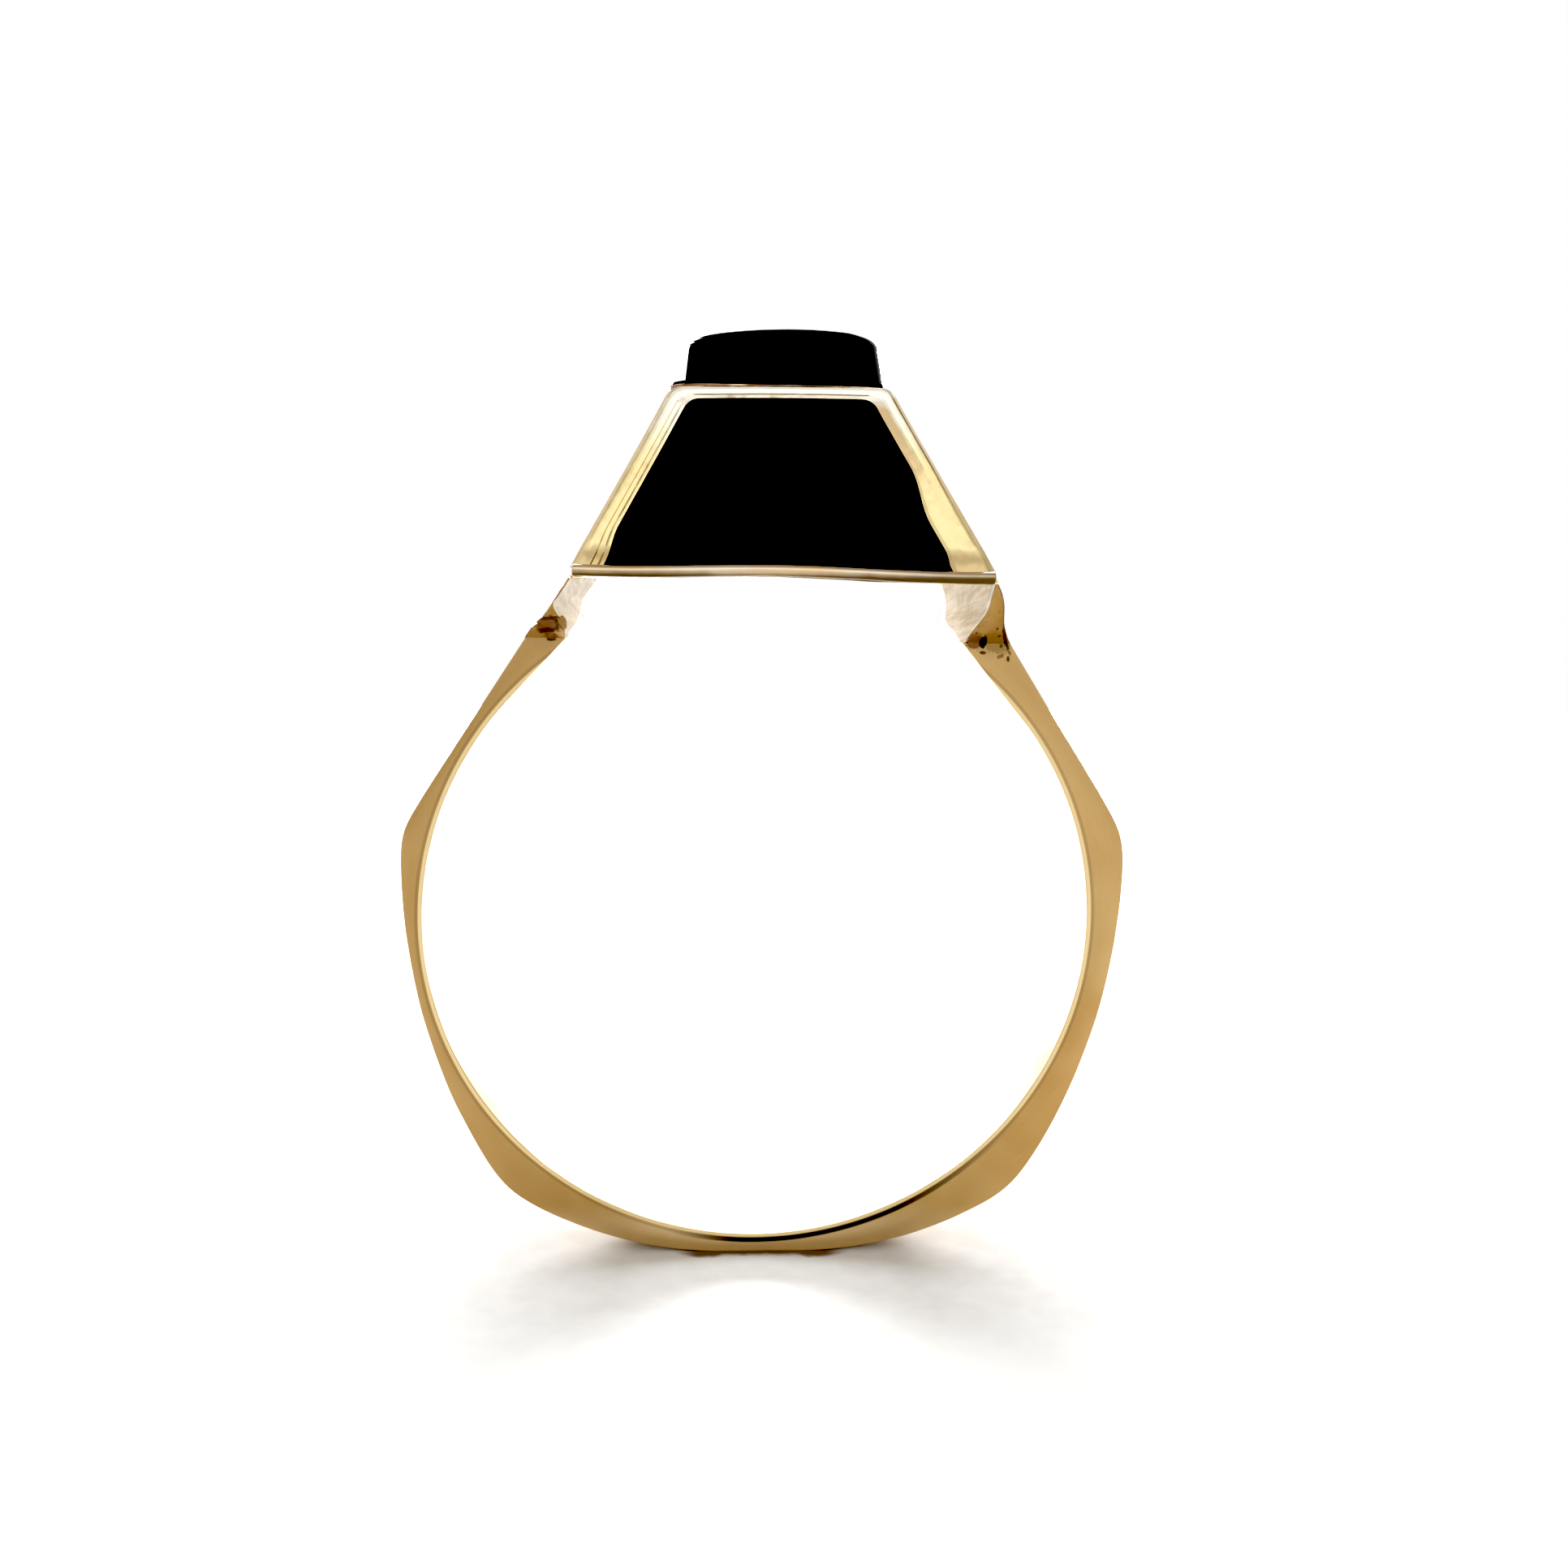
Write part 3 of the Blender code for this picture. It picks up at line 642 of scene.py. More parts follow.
def filed_gold():
    """Gold left grey and rough by the file, with a ragged edge to the worn gold of the bore."""
    finish = Finish("gold_filed")
    marks = finish.noise(1, 4, finish.stretched((FILING_TURN, 0.0, 0.0), (3.0, 0.45, 8.0)), 0.6)
    blotch = finish.noise(0.5, 3)
    left = finish.step(0 - finish.x, 0, 1)
    below = finish.step(0 - finish.z, -FILING_BEND, -JOINT)
    slanted = (HEAD_FOOT - finish.z) * (FILING_SLANT - left * FILING_LEFT_SLANT)
    reach = FILING_REACH - left * FILING_LEFT_SHORTER - finish.x * FILING_SKEW
    rear_end = reach - slanted - below * (left * FILING_DROP_LEFT + FILING_DROP)
    filed = finish.step(rear_end - finish.y + marks * FILING_RAGGED, *FILING_EDGE_SPAN)
    grey = finish.blend(finish.step(marks * 0.7 + blotch * 0.3, 0.36, 0.62), FILED_DARK, FILED_LIGHT)
    colour = finish.blend(filed, GOLD_WORN, grey)
    roughness = 0.18 + filed * (0.60 + blotch * 0.2)
    finish.feed(finish.shader.inputs["Metallic"], 1 - filed)
    finish.shader.inputs["IOR"].default_value = 1.0
    return finish.done(colour, roughness, finish.bump((marks + blotch * 0.4) * filed, 0.03))


def burnt_solder():
    """Solder left dark by the torch, brown with some gold showing through and dark lines across it."""
    finish = Finish("solder_burnt", 0.85)
    patches = finish.noise(0.30, 3)
    lines = finish.noise(1, 3, finish.stretched((0, 0, 0), (1.6, 1.6, 6.5)))
    colour = finish.blend(finish.step(patches, 0.46, 0.70), SOLDER_BROWN, SOLDER_GOLD)
    colour = finish.scorched(colour)
    roughness = 0.32 + lines * 0.3
    return finish.done(colour, roughness, finish.bump(lines + patches, 0.04))


def pit_soot_and_shade():
    """The black of a pit in the solder: soot and painted shade, as the pit is painted on, not dented."""
    finish = Finish("solder_pit", 0.0)
    grain = finish.noise(0.05, 3)
    colour = finish.blend(grain, PIT_SOOT_AND_SHADE, SOLDER_DARK)
    return finish.done(colour, 0.75 + grain * 0.2, finish.bump(grain, 0.02))


def black_onyx():
    """Polished black stone with barely seen banding and fine wear on its polish."""
    finish = Finish("onyx_black", 0.0)
    bands = finish.noise(1, 3, finish.stretched((0.2, 0.1, 0.4), (0.3, 0.3, 2.2)))
    wear = finish.noise(1, 4, finish.stretched((0.5, 0.9, 0.2), (1.5, 18, 18)))
    colour = finish.blend(finish.step(bands, 0.45, 0.8), ONYX_BLACK, ONYX_BAND)
    roughness = 0.05 + finish.step(wear, 0.58, 0.75) * 0.06
    finish.shader.inputs["Specular IOR Level"].default_value = 0.25
    return finish.done(colour, roughness, finish.bump(finish.noise(2.0, 2), 0.006))


def dull_onyx():
    """The foot of the tablet, left without polish under the rim."""
    finish = Finish("onyx_dull", 0.0)
    grain = finish.noise(0.1, 3)
    colour = finish.blend(grain, ONYX_BLACK, ONYX_BAND)
    finish.shader.inputs["IOR"].default_value = 1.0
    return finish.done(colour, 0.7 + grain * 0.2, finish.bump(grain, 0.01))


def dull_cement():
    """Grey-brown setting cement."""
    finish = Finish("cement_dull", 0.0)
    grain = finish.noise(0.12, 4)
    colour = finish.blend(grain, CEMENT_DARK, CEMENT_GREY)
    return finish.done(colour, 0.7 + grain * 0.25, finish.bump(grain, 0.03))


def painted_palm_shadow(finish):
    """1 on the strip of floor in front of the palm that gets a painted shadow, standing in for the shade
    where no light gets in; only the camera sees it.
    """
    along = finish.step(finish.x, *SHADE_LEFT_SPAN) * finish.fade(finish.x, *SHADE_RIGHT_SPAN)
    longer = finish.step(abs(finish.x), *SHADE_END_SPAN) * SHADE_LONGER_AT_ENDS
    ragged = (finish.noise(0.35, 2) - 0.5) * SHADE_RAGGED
    forward = 0 - finish.y
    past = forward - HALF_DEPTH_AT_PALM - longer + ragged + (1 - along) * SHADE_TAPER
    front = finish.step(forward, 0, HALF_DEPTH_AT_PALM)
    return along * finish.fade(past, *SHADE_REACH_SPAN) * front * finish.add("ShaderNodeLightPath")


def white_paper():
    """The pale floor, painted lighter behind and far in front, with a painted shadow under the palm."""
    finish = Finish("floor_white", 0.0)
    grain = finish.noise(0.7, 4)
    colour = finish.layered(
        PAPER_WHITE,
        (finish.step(grain, 0.3, 0.7), PAPER_SHADE),
        # painted light: brighter floor behind the ring
        (finish.step(finish.y, *PAPER_BEHIND_SPAN), PAPER_PAINTED_LIGHT_BEHIND),
        # painted light: brighter floor far in front of the ring
        (finish.step(0 - finish.y, *PAPER_FRONT_SPAN), PAPER_PAINTED_LIGHT_FRONT),
        # painted shadow on the floor in front of the palm
        (painted_palm_shadow(finish), PAINTED_PALM_SHADOW))
    return finish.done(colour, 0.85 + grain * 0.1)


SATIN = satin_gold()
POLISHED = polished_gold()
FRAMED = frame_gold()
RIM_GOLD = red_brown_gold()
WIRE = drawn_gold()
WORN = worn_gold()
FILED = filed_gold()
BURNT = burnt_solder()
PIT = pit_soot_and_shade()
ONYX = black_onyx()
DULL_ONYX = dull_onyx()
CEMENT = dull_cement()


# Modelling steps

def begin(name, add, **settings):
    """Adds a primitive as a new piece, with its place in its mesh, and opens it for editing."""
    bpy.ops.object.select_all(action="DESELECT")
    add(**settings)
    piece = bpy.context.object
    piece.name = name
    bpy.ops.object.transform_apply(location=True, rotation=True, scale=True)
    bpy.ops.object.mode_set(mode="EDIT")
    select_all()
    return piece


def begin_block(name, **settings):
    return begin(name, bpy.ops.mesh.primitive_cube_add, size=1, **settings)


def select_all():
    bpy.ops.mesh.select_all(action="SELECT")


def select(piece, kind, test):
    """Selects the verts, edges or faces that pass a test, and nothing else."""
    bpy.ops.mesh.select_mode(type={"verts": "VERT", "edges": "EDGE", "faces": "FACE"}[kind])
    bpy.ops.mesh.select_all(action="DESELECT")
    shape = bmesh.from_edit_mesh(piece.data)
    shape.normal_update()
    for element in getattr(shape, kind):
        if test(element):
            element.select_set(True)
    shape.select_flush_mode()
    bmesh.update_edit_mesh(piece.data)


def move_points(piece, place, only_selected=False):
    """Moves the points of a piece, each to place(its position)."""
    shape = bmesh.from_edit_mesh(piece.data)
    for point in shape.verts:
        if point.select or not only_selected:
            point.co = place(point.co.copy())
    shape.normal_update()
    bmesh.update_edit_mesh(piece.data)


def paint_faces(piece, test, slot_number):
    """Gives the faces that pass a test another of the piece's materials."""
    shape = bmesh.from_edit_mesh(piece.data)
    shape.normal_update()
    for face in shape.faces:
        if test(face):
            face.material_index = slot_number
    bmesh.update_edit_mesh(piece.data)


def extrude(offset):
    bpy.ops.mesh.extrude_region_move(TRANSFORM_OT_translate={"value": offset})


def thicken(offset):
    select_all()
    extrude(offset)


def point_outwards():
    select_all()
    bpy.ops.mesh.normals_make_consistent(inside=False)


NEARLY = 0.99
HAIR = 0.001
SHARP = 60
SMOOTH_BELOW = math.radians(32)


def runs_along(edge, axis):
    """True for an edge that lies along one axis."""
    way = edge.verts[1].co - edge.verts[0].co
    return abs(way[axis]) > NEARLY * way.length


def looks_up(face):
    return face.normal.z > NEARLY


def round_uprights(piece, radius):
    """Rounds the upright corners of a block."""
    select(piece, "edges", lambda edge: runs_along(edge, 2))
    bpy.ops.mesh.bevel(offset=radius, segments=UPRIGHT_STEPS, profile=0.5)


def round_edges(piece, radius, segments=3, sharper_than=35, keep_sharp_at=None, only=lambda edge: True):
    """Rounds the edges that are sharper than an angle, except those at a height where pieces join."""
    sharp = math.radians(sharper_than)

    def to_round(edge):
        if len(edge.link_faces) != 2 or edge.calc_face_angle() < sharp:
            return False
        if not only(edge):
            return False
        return keep_sharp_at is None or any(abs(end.co.z - keep_sharp_at) > HAIR for end in edge.verts)

    select(piece, "edges", to_round)
    bpy.ops.mesh.bevel(offset=radius, segments=segments, profile=0.5, clamp_overlap=True)


def modify(piece, kind, **settings):
    """Adds a modifier and applies it."""
    bpy.ops.object.mode_set(mode="OBJECT")
    modifier = piece.modifiers.new(kind.lower(), kind)
    for name, value in settings.items():
        setattr(modifier, name, value)
    bpy.ops.object.modifier_apply(modifier=modifier.name)
    bpy.ops.object.mode_set(mode="EDIT")


def refine(piece, levels):
    modify(piece, "SUBSURF", subdivision_type="SIMPLE", levels=levels, render_levels=levels)


def ruffle(piece, size, depth, group=""):
    """Pushes the surface in and out by soft noise, blobs of size millimetres, depth from low to high."""
    texture = bpy.data.textures.new("ruffle", "CLOUDS")
    texture.noise_scale = size
    modify(piece, "DISPLACE", texture=texture, strength=depth, mid_level=0.5, vertex_group=group)


def finish_piece(piece, node, slot, *materials):
    """Smooths the shading, scales from millimetres to metres and hands the piece to the frame."""
    bpy.ops.object.mode_set(mode="OBJECT")
    for material in materials:
        piece.data.materials.append(material)
    bpy.ops.object.shade_smooth_by_angle(angle=SMOOTH_BELOW)
    to_metres(piece)
    hand_over(piece, node)


def to_metres(piece):
    piece.scale = (MM, MM, MM)
    bpy.ops.object.transform_apply(location=True, rotation=True, scale=True)


def hand_over(piece, node):
    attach(piece, "root")
    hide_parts(node)


def finish_pair(piece, name, node, slot, material):
    """Finishes a piece on the front of the head, and copies it, mirrored, to the back."""
    finish_piece(piece, node + "_front", slot, material)
    copy = piece.copy()
    copy.name = name + "_back"
    copy.data = piece.data.copy()
    bpy.context.scene.collection.objects.link(copy)
    copy.data.transform(Matrix.Scale(-1, 4, (0, 1, 0)))
    copy.data.flip_normals()
    hand_over(copy, node + "_back")


# Hoop

def bore_distance(way):
    """How far the finger hole reaches from its middle: round below, straight above."""
    rise = math.atan2(way.y, abs(way.x))
    round_to = HOLE_ROUND_TO_RIGHT if way.x > 0 else HOLE_ROUND_TO_LEFT
    return HOLE_RADIUS / math.cos(max(0.0, rise - round_to))


def reach_disc(way, centre, radius):
    """How far it is from the hole's middle to the edge of a disc around it."""
    offset = HOLE_MIDDLE - centre
    along = offset.dot(way)
    return math.sqrt(along * along - offset.length_squared + radius * radius) - along


def outline_distance(way):
    """How far the outside of the hoop is from the hole's middle: palm, flank and straight side."""
    side = math.copysign(1, way.x)
    palm_centre = Vector((side * PALM_FLAT_HALF, PALM_ARC_RADIUS))
    flank_centre = Vector((side * (SIDE_CORNER.x - FLANK_ARC_RADIUS), FLANK_ARC_HEIGHT))
    palm = reach_disc(way, palm_centre, PALM_ARC_RADIUS)
    reaches = [palm, reach_disc(way, flank_centre, FLANK_ARC_RADIUS)]
    if way.y < 0:
        to_floor = -HOLE_MIDDLE.y / way.y
        if abs(HOLE_MIDDLE.x + way.x * to_floor) < PALM_FLAT_HALF:
            reaches[0] = to_floor
    corner = Vector((side * SIDE_CORNER.x, SIDE_CORNER.y))
    upward = Vector((side * JOINT_OUTSIDE, JOINT)) - corner
    normal = Vector((side * upward.y, -side * upward.x)).normalized()
    facing = way.dot(normal)
    if facing > SIDE_FACING:
        reaches.append((corner - HOLE_MIDDLE).dot(normal) / facing)
    return sum(reach ** -CORNER_SHARPNESS for reach in reaches) ** (-1 / CORNER_SHARPNESS)


def faces_finger(face):
    """True for the faces of the bore."""
    spot = face.calc_center_median()
    way = (HOLE_MIDDLE - Vector((spot.x, spot.z))).normalized()
    return way.x * face.normal.x + way.y * face.normal.z > BORE_FACING


def at_bore(edge):
    """True for the edges round the finger hole."""
    way = Vector((edge.verts[0].co.x, edge.verts[0].co.z)) - HOLE_MIDDLE
    return way.length < bore_distance(way) + BORE_MARGIN


def half_depth(height):
    return mix(HALF_DEPTH_AT_PALM, HALF_DEPTH_AT_JOINT, height / JOINT)


def make_hoop():
    hoop = begin("hoop", bpy.ops.mesh.primitive_circle_add, vertices=HOOP_STEPS, radius=1,
                 location=(HOLE_MIDDLE.x, -0.5, HOLE_MIDDLE.y), rotation=(math.pi / 2, 0, 0))

    def spread(distance):
        def place(point):
            way = (Vector((point.x, point.z)) - HOLE_MIDDLE).normalized()
            flat = HOLE_MIDDLE + way * distance(way)
            return Vector((flat.x, point.y, flat.y))
        return place

    move_points(hoop, spread(bore_distance))
    extrude((0, 0, 0))
    move_points(hoop, spread(outline_distance), only_selected=True)
    thicken((0, 1, 0))
    select_all()
    bpy.ops.mesh.bisect(plane_co=(0, 0, JOINT), plane_no=(0, 0, 1), clear_outer=True, use_fill=True)
    move_points(hoop, lambda point: Vector((point.x, 2 * point.y * half_depth(point.z), point.z)))
    point_outwards()
    round_edges(hoop, HOOP_INNER_EDGE, 4, keep_sharp_at=JOINT, only=at_bore)
    round_edges(hoop, HOOP_OUTER_EDGE, 2, keep_sharp_at=JOINT)
    paint_faces(hoop, faces_finger, 1)
    refine(hoop, 1)
    ruffle(hoop, *HOOP_RUFFLE)
    finish_piece(hoop, "shank", "satin_gold", SATIN, WORN)


# Legs and solder

def right_leg(rise):
    """Inner and outer reach of the right leg, from the joint (0) to the head (1)."""
    top = HEAD_FOOT_HALF_WIDTH + HEAD_MIDDLE + RIGHT_LEG_TOP_OUT
    outside = mix(RIGHT_LEG_FOOT, top, rise) - LEG_SWELL * math.sin(2 * math.pi * rise)
    inside = mix(RIGHT_LEG_INSIDE, LEG_FOOT_INSIDE, fade(rise, *RIGHT_LEG_FOOT_SPAN))
    return min(inside, outside - LEG_TOP_INSET), outside


def left_leg(rise):
    """Inner and outer reach of the left leg, which has a heel where it stands on the hoop."""
    top = HEAD_FOOT_HALF_WIDTH - HEAD_MIDDLE - LEFT_LEG_TOP_INSET
    outside = mix(LEFT_LEG_FOOT, top, rise)
    wall = mix(LEFT_LEG_WALL, LEFT_LEG_FOOT_WALL, fade(rise, *LEFT_LEG_WALL_SPAN))
    foot = LEFT_LEG_INSIDE - LEFT_LEG_FOOT_SLOPE * rise
    inside = mix(foot, max(outside - wall, foot), ease(rise, *LEFT_LEG_FOOT_SPAN))
    return inside, outside + LEFT_LEG_HEEL * fade(rise, *LEFT_LEG_HEEL_SPAN)


def make_leg(name, node, side, reach, rear):
    """A flared leg, deep where it meets the head and filed inside. It is thicker by rear at the back."""
    leg = begin_block(name)
    for axis, pieces in ((2, LEG_LEVELS), (1, LEG_SLICES)):
        select(leg, "edges", lambda edge: runs_along(edge, axis))
        bpy.ops.mesh.subdivide(number_cuts=pieces - 1)

    def place(point):
        rise = point.z + 0.5
        inside, outside = reach(rise)
        inside -= rear * (point.y + 0.5) * ease(rise, *LEG_REAR_SPAN)
        depth = mix(HALF_DEPTH_AT_JOINT, LEG_TOP_HALF_DEPTH, rise)
        across = side * (outside if point.x > 0 else inside)
        return Vector((across, 2 * point.y * depth, mix(JOINT, HEAD_FOOT, rise)))

    move_points(leg, place)
    point_outwards()
    round_edges(leg, LEG_EDGE, 2, SHARP, keep_sharp_at=JOINT)

    def outer_edge(face):
        return abs(face.normal.y) > LEG_FRONT_FACING and face.normal.x * side > LEG_OUTSIDE_FACING

    paint_faces(leg, lambda face: face.normal.x * side < -LEG_INSIDE_FACING, 1)
    # the rounded outer front and back edges take the dark solder finish: a dark line down the leg's outer
    # edge
    paint_faces(leg, outer_edge, 2)
    ruffle(leg, *LEG_RUFFLE)
    finish_piece(leg, node, "satin_gold", SATIN, FILED, BURNT)


SOLDER_GRAIN = 0.03
SOLDER_RUFFLE = (0.25, 0.07)
SLAB_SHORTER = 0.36
SLAB_SHALLOWER = 0.20
SLAB_HEIGHT = 0.16
BACK_LUMPS_OUT = 1.01


def joint_half_depth(height):
    """How deep the ring is near a joint: the hoop below it and the flared leg above."""
    if height < JOINT:
        return half_depth(height)
    return mix(HALF_DEPTH_AT_JOINT, LEG_TOP_HALF_DEPTH, (height - JOINT) / (HEAD_FOOT - JOINT))


def make_solder(name, node, blobs, pits):
    """Solder in the joint, run out into lumps on the front and on the back, with pits painted black.

    A blob is its middle (x, z) and three half sizes, a pit its middle, half width and half height.
    """
    low, high = box_mm(node)
    middle = (low + high) / 2
    slab = (high.x - low.x - SLAB_SHORTER, high.y - low.y - SLAB_SHALLOWER, SLAB_HEIGHT)
    seam = begin_block(name, location=middle, scale=slab)
    for x, z, *half_sizes in blobs:
        for face, out in ((1, BACK_LUMPS_OUT), (-1, 1)):
            bpy.ops.mesh.primitive_uv_sphere_add(segments=24, ring_count=16, radius=1, scale=half_sizes,
                                                 location=(x * out, 0, z))
            move_points(seam, lambda point: point + Vector((0, face * joint_half_depth(point.z), 0)), True)
    modify(seam, "REMESH", mode="VOXEL", voxel_size=SOLDER_GRAIN)
    modify(seam, "SMOOTH", factor=0.5, iterations=6)
    ruffle(seam, *SOLDER_RUFFLE)

    def in_pit(face):
        spot = face.calc_center_median()
        return any(math.hypot((spot.x - x) / wide, (spot.z - z) / high) < 1 for x, z, wide, high in pits)

    paint_faces(seam, in_pit, 1)
    finish_piece(seam, node, "solder", BURNT, PIT)


LEFT_BLOBS = [
    (-5.52, 16.97, 0.27, 0.05, 0.20),
    (-5.13, 17.01, 0.12, 0.06, 0.20),
    (-5.46, 16.64, 0.16, 0.04, 0.11),
]
RIGHT_BLOBS = [(5.20, 16.68, 0.22, 0.03, 0.22)]
RIGHT_PITS = [(5.41, 16.64, 0.09, 0.15)]


# Head

def head_half_width(height, side):
    """Half the width of the head at a height. Its right side (1) spreads more than its left (-1)."""
    foot = HEAD_FOOT_HALF_WIDTH + (RIGHT_SPREAD if side > 0 else 0)
    return mix(foot, RIM_HALF_WIDTH, (height - HEAD_FOOT) / (HEAD_RIM - HEAD_FOOT))


def head_half_length(height):
    return mix(HEAD_FOOT_HALF_LENGTH, RIM_HALF_LENGTH, (height - HEAD_FOOT) / (HEAD_RIM - HEAD_FOOT))


BAR_STEPS = 24
CORNER_STEPS = 10
TOP_STEPS = 16
MOULDING_STEPS = 50


def head_arch(spot):
    """How much the upper part of the frame is arched and raised on the right, by hand work."""
    across = spot.x - HEAD_MIDDLE
    share = ease(spot.y, FRAME_FOOT, HEAD_RIM)
    return share * (TOP_BAR_ARCH * (1 - (across / RIM_HALF_WIDTH) ** 2) + TOP_BAR_LEVEL * across)


def bar_width(height, side):
    """How wide a bar of the frame is: the right one widens below the middle, the left one at its foot."""
    if side > 0:
        fillet = RIGHT_FOOT_FILLET * fade(height, *RIGHT_FILLET_SPAN)
        return FRAME_BAR - RIGHT_BAR_LESS + RIGHT_FOOT_EXTRA * fade(height, *RIGHT_FOOT_SPAN) + fillet
    return FRAME_BAR - LEFT_BAR_LESS + LEFT_FOOT_EXTRA * fade(height, *LEFT_FOOT_SPAN)


def frame_side(side, top, radius, half_width):
    """Points up one side of the frame, then round its top corner. half_width gives the side at a height."""
    centre_height = top - radius
    lean = math.atan(SIDE_SLOPE)
    arc_start = centre_height + radius * math.sin(lean)
    centre_x = half_width(centre_height) - radius / math.cos(lean)
    points = []
    for step in range(BAR_STEPS):
        height = mix(FRAME_FOOT, arc_start, step / BAR_STEPS)
        points.append((half_width(height), height))
    for step in range(CORNER_STEPS + 1):
        angle = mix(lean, math.pi / 2, step / CORNER_STEPS)
        points.append((centre_x + radius * math.cos(angle), centre_height + radius * math.sin(angle)))
    return [Vector((HEAD_MIDDLE + side * x, z)) for x, z in points]


def outer_side(side):
    return frame_side(side, HEAD_RIM, FRAME_CORNER, lambda height: head_half_width(height, side))


def window_side(side, gap=0.0):
    def half_width(height):
        return head_half_width(height, side) - bar_width(height, side) - gap
    return frame_side(side, HEAD_RIM - TOP_BAR - gap, WINDOW_CORNER, half_width)


def whole_run(left, right):
    """One run of points from the left foot, over the top, to the right foot."""
    top = [left[-1].lerp(right[-1], step / TOP_STEPS) for step in range(1, TOP_STEPS)]
    return left + top + right[::-1]


LEFT_MOULDING = [(0.0, 0.15), (0.14, 0.025), (0.26, 0.005), (0.38, 0.0), (0.58, 0.015), (0.62, 0.055),
                 (0.80, 0.060), (0.88, 0.105), (1.0, 0.115)]
RIGHT_MOULDING = [(0.0, 0.15), (0.14, 0.025), (0.22, 0.005), (0.34, 0.0), (0.52, 0.01), (0.55, 0.03),
                  (0.92, 0.10), (1.0, 0.115)]
PLAIN_MOULDING = [(0.0, 0.15), (0.14, 0.025), (0.22, 0.005), (0.60, 0.0), (0.90, 0.02), (1.0, 0.06)]
TOP_MOULDING = [(0.0, 0.05), (0.12, 0.005), (0.30, 0.0), (0.66, 0.005), (0.76, 0.04), (1.0, 0.115)]
TOP_MOULDING_SPAN = (HEAD_RIM - 0.3, HEAD_RIM)
PLAIN_MOULDING_SPAN = (20.4, 21.2)
FOOT_CHAMFER = 0.10
FOOT_CHAMFER_SPAN = (18.5, 18.95)


def moulding_depth(profile, part):
    """How far the frame's face lies behind its crown, from the outer edge (0) to the window (1)."""
    for (start, first), (end, second) in zip(profile, profile[1:]):
        if part <= end:
            return mix(first, second, (part - start) / (end - start))
    return profile[-1][1]


def make_frame():
    """The moulded frame round the front panel, copied to the back."""
    outer = whole_run(outer_side(-1), outer_side(1))
    window = whole_run(window_side(-1), window_side(1))
    last = len(outer) - 1
    bars = begin("frame_front", bpy.ops.mesh.primitive_grid_add, size=1,
                 x_subdivisions=last, y_subdivisions=MOULDING_STEPS)

    def place(point):
        station = round((point.x + 0.5) * last)
        part = point.y + 0.5
        spot = outer[station].lerp(window[station], part)
        on_top = ease(outer[station].y, *TOP_MOULDING_SPAN)
        side = moulding_depth(LEFT_MOULDING, part)
        if spot.x > HEAD_MIDDLE:
            plain = fade(spot.y, *PLAIN_MOULDING_SPAN)
            side = mix(moulding_depth(RIGHT_MOULDING, part), moulding_depth(PLAIN_MOULDING, part), plain)
        back = mix(side, moulding_depth(TOP_MOULDING, part), on_top)
        back += FOOT_CHAMFER * fade(spot.y, *FOOT_CHAMFER_SPAN)
        return Vector((spot.x, back - head_half_length(spot.y), spot.y + head_arch(spot)))

    move_points(bars, place)
    thicken((0, FRAME_BODY, 0))
    point_outwards()
    ruffle(bars, *FRAME_RUFFLE)
    finish_pair(bars, "frame", "panel_frame", "polished_gold", FRAMED)


def make_inlay():
    """The black panel in the frame, copied to the back."""
    left = window_side(-1, PANEL_GAP)
    right = window_side(1, PANEL_GAP)
    rows = len(left) - 1
    inlay = begin("inlay_front", bpy.ops.mesh.primitive_grid_add, size=1,
                  x_subdivisions=20, y_subdivisions=rows)

    def place(point):
        row = round((point.y + 0.5) * rows)
        spot = left[row].lerp(right[row], point.x + 0.5)
        return Vector((spot.x, PANEL_DEPTH - head_half_length(spot.y), spot.y + head_arch(spot)))

    move_points(inlay, place)
    thicken((0, PANEL_THICKNESS, 0))
    point_outwards()
    finish_pair(inlay, "inlay", "onyx_panel", "onyx", ONYX)


def make_rail():
    """The half-round bar under the panel, slightly wavy, copied to the back."""
    radius = RAIL_THICKNESS / 2
    length = RAIL_HIGH.x - RAIL_LOW.x + RAIL_LONGER
    middle = HEAD_MIDDLE + RAIL_SHIFT
    axis = (middle, RAIL_LOW.y + radius, RAIL_HIGH.z - radius)
    rail = begin("rail_front", bpy.ops.mesh.primitive_cylinder_add, vertices=32, radius=radius,
                 depth=length, location=axis, rotation=(0, math.pi / 2, 0))
    select(rail, "verts", lambda point: point.co.y > RAIL_LOW.y + radius + HAIR)
    bpy.ops.transform.translate(value=(0, RAIL_HIGH.y - RAIL_LOW.y - 2 * radius, 0))
    round_edges(rail, RAIL_EDGE, 2, SHARP)
    select(rail, "edges", lambda edge: runs_along(edge, 0) and edge.calc_length() > RAIL_LONG_EDGE)
    bpy.ops.mesh.subdivide(number_cuts=RAIL_CUTS)

    def sag(point):
        part = (point.x - middle) / length
        wave = RAIL_WAVE * math.cos(RAIL_HALF_WAVES * math.pi * part)
        return point + Vector((0, 0, wave - RAIL_TILT * part))

    move_points(rail, sag)
    ruffle(rail, *RAIL_RUFFLE)
    finish_pair(rail, "rail", "base_rail", "satin_gold", WIRE)


